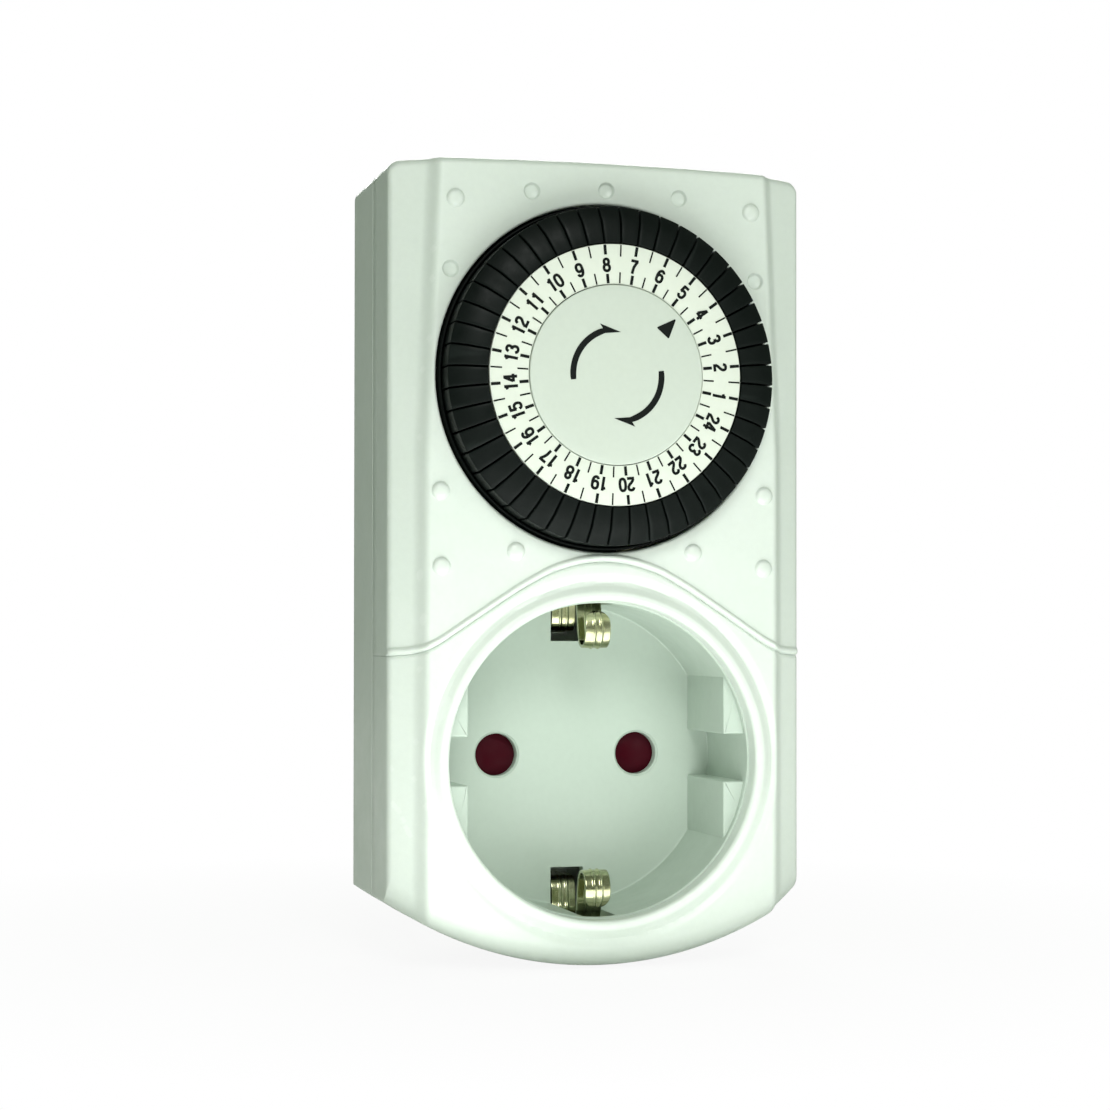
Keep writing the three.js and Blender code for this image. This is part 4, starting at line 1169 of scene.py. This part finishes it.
def plug_pin(name, x, node):
    pin = lathe(name, PIN_PROFILE, 96, x, steps=7)
    finish_piece(pin, PIN, "housing", node)


def housing_screw(name, x, z):
    screw = lathe(name + "_v", SCREW_PROFILE, 64, x, z)
    boolean(screw, prism("cross", [(x + a, z + b) for a, b in CROSS], -1.9, 0))
    finish_piece(screw, STEEL, "housing", name)


# ---------------------------------------------------------------- build
def covers():
    block = front_block()
    upper_cover(block)
    lower_cover(block)
    drop(block)


covers()
rear_shell()
socket_well()
dial_wheel()
number_ring()
centre_disc()
hour_marks()
disc_marks()
tappets()
earth_spring("earth_clip_top", 1, "earth_spring_upper")
earth_spring("earth_clip_base", -1, "earth_spring_lower")
shutter()
plug_pin("round_pin_a", -PIN_X, "plug_pin_live")
plug_pin("round_pin_b", PIN_X, "plug_pin_neutral")
for screw_name, screw_x, screw_z in SCREWS:
    housing_screw(screw_name, screw_x, screw_z)

# loaded pieces that keep their own mesh
CARRIED = {
    "shutter_spring": STEEL, "lever_axle": STEEL, "centre_spindle": STEEL,
    "idler_axle": STEEL, "socket_contact_live": BRASS, "socket_contact_neutral": BRASS,
    "fixed_contact": BRASS, "live_bar": BRASS, "motor_pinion": BRASS,
    "moving_contact": COPPER, "motor_coil": COPPER, "motor_case": STEEL,
    "motor_rear_plate": STEEL, "motor_rotor": FERRITE, "mechanism_plate": PLATE,
    "follower_lever": ACETAL, "idler_gear": ACETAL, "motor_lead_live": BROWN_WIRE,
    "motor_lead_neutral": BLUE_WIRE,
}
for node_name, node_mat in CARRIED.items():
    shade(frame["nodes"][node_name].data, node_mat, sharp=34)


# ---------------------------------------------------------------- floor
def floor_material():
    """Pale diffuse floor that the camera sees fade to white away from the origin."""
    mat = bpy.data.materials.new("pale_floor")
    tree = empty_tree(mat)
    links = tree.links
    diffuse = add_node(tree, "BsdfDiffuse")
    diffuse.inputs["Color"].default_value = (0.92, 0.93, 0.92, 1)
    glow = add_node(tree, "Emission")
    glow.inputs["Color"].default_value = (1, 1, 1, 1)
    glow.inputs["Strength"].default_value = 1.0
    distance = add_node(tree, "VectorMath")
    distance.operation = "LENGTH"
    links.new(add_node(tree, "NewGeometry").outputs["Position"], distance.inputs[0])
    # distance in metres to share of glow
    fade = remap(tree, distance.outputs["Value"], (0.03, 0.12), (0.9, 1.0))
    camera_only = add_node(tree, "Math")
    camera_only.operation = "MULTIPLY"
    links.new(fade, camera_only.inputs[0])
    links.new(add_node(tree, "LightPath").outputs["Is Camera Ray"], camera_only.inputs[1])
    blend = add_node(tree, "MixShader")
    links.new(camera_only.outputs[0], blend.inputs[0])
    links.new(diffuse.outputs[0], blend.inputs[1])
    links.new(glow.outputs[0], blend.inputs[2])
    links.new(blend.outputs[0], add_node(tree, "OutputMaterial").inputs[0])
    return mat


def floor():
    seg = 96
    radii_m = [0.02, 0.05, 0.1, 0.2, 0.5, 1.5, 6.0]
    angles = np.arange(seg) * 2 * pi / seg
    verts = [(0, 0, 0)]
    for r in radii_m:
        verts += [(r * 1000 * cos(a), r * 1000 * sin(a), 0) for a in angles]
    i = np.arange(seg)
    j = (i + 1) % seg
    polys = [np.c_[np.zeros(seg, int), 1 + i, 1 + j]]
    for k in range(len(radii_m) - 1):
        inner, outer = 1 + k * seg, 1 + (k + 1) * seg
        polys.append(np.c_[inner + i, outer + i, outer + j, inner + j])
    mesh = new_mesh("floor", verts, polys)
    ground = new_object("floor", mesh)
    ground.location.z = (BASE_CZ - BASE_R) * MM - 0.0004
    mesh.materials.append(floor_material())


# ---------------------------------------------------------------- world, lights, camera
def studio_world(scene):
    """White to the camera, a dim tinted dome to everything else."""
    world = bpy.data.worlds.new("studio")
    scene.world = world
    tree = empty_tree(world)
    links = tree.links
    split = add_node(tree, "SeparateXYZ")
    links.new(add_node(tree, "TexCoord").outputs["Generated"], split.inputs[0])
    height = remap(tree, split.outputs["Z"], (-0.5, 0.7), (0.0, 1.0))
    tone = mix(tree, height, (0.80, 1.0, 0.90), (0.80, 1.0, 0.72))
    dome = add_node(tree, "Background")
    links.new(tone, dome.inputs["Color"])
    dome.inputs["Strength"].default_value = 0.19
    backdrop = add_node(tree, "Background")
    backdrop.inputs["Color"].default_value = (1, 1, 1, 1)
    backdrop.inputs["Strength"].default_value = 1.0
    blend = add_node(tree, "MixShader")
    links.new(add_node(tree, "LightPath").outputs["Is Camera Ray"], blend.inputs[0])
    links.new(dome.outputs[0], blend.inputs[1])
    links.new(backdrop.outputs[0], blend.inputs[2])
    links.new(blend.outputs[0], add_node(tree, "OutputWorld").inputs[0])


def area_light(name, *, at, to, size, power, color):
    """Disc light; at, to and size in metres."""
    data = bpy.data.lights.new(name, "AREA")
    data.shape, data.size, data.energy, data.color = "DISK", size, power, color
    light = new_object(name, data)
    light.location = Vector(at) + Vector((0, BACK_Y * MM, 0))
    light.rotation_mode = "QUATERNION"
    light.rotation_quaternion = (Vector(to) - Vector(at)).to_track_quat("-Z", "Y")
    return light


def lights():
    area_light("key", at=(-0.10, -0.80, 0.50), to=(0, -0.02, 0.02), size=0.40, power=4.1,
               color=(0.98, 1.0, 0.97))
    area_light("fill", at=(0.50, -0.60, -0.05), to=(0, -0.02, 0.02), size=0.5, power=0.8,
               color=(0.95, 1.0, 0.97))
    area_light("behind", at=(0.16, 0.70, 0.42), to=(0, 0, 0.02), size=0.5, power=3.2,
               color=(1.0, 1.0, 0.99))
    bounce = area_light("bounce", at=(-0.01, -0.098, -0.0255), to=(-0.01, -0.098, 1.0),
                        size=0.13, power=0.118, color=(0.98, 1.0, 0.985))
    bounce.visible_camera = False


def camera(scene):
    """Looks in from the front left, tilted slightly up."""
    place = (-0.088011, -0.312006 + BACK_Y * MM, 0.016477)    # metres
    turn, tilt_down, roll = radians(15.919), radians(-0.779), radians(0.058)
    data = bpy.data.cameras.new("camera")
    made = new_object("camera", data)
    ahead = Vector((sin(turn) * cos(tilt_down), cos(turn) * cos(tilt_down), -sin(tilt_down)))
    right = Vector((cos(turn), -sin(turn), 0.0))
    up = right.cross(ahead)
    right, up = right * cos(roll) + up * sin(roll), up * cos(roll) - right * sin(roll)
    axes = Matrix((right, up, -ahead)).transposed()
    made.matrix_world = Matrix.Translation(place) @ axes.to_4x4()
    data.sensor_width, data.lens = 36.0, 78.20
    data.shift_x, data.shift_y = -0.00114, 0.03623
    data.clip_start, data.clip_end = 0.01, 50
    scene.camera = made


floor()
main_scene = bpy.context.scene
studio_world(main_scene)
lights()
main_scene.view_settings.view_transform = "Standard"
main_scene.view_settings.look = "None"
camera(main_scene)
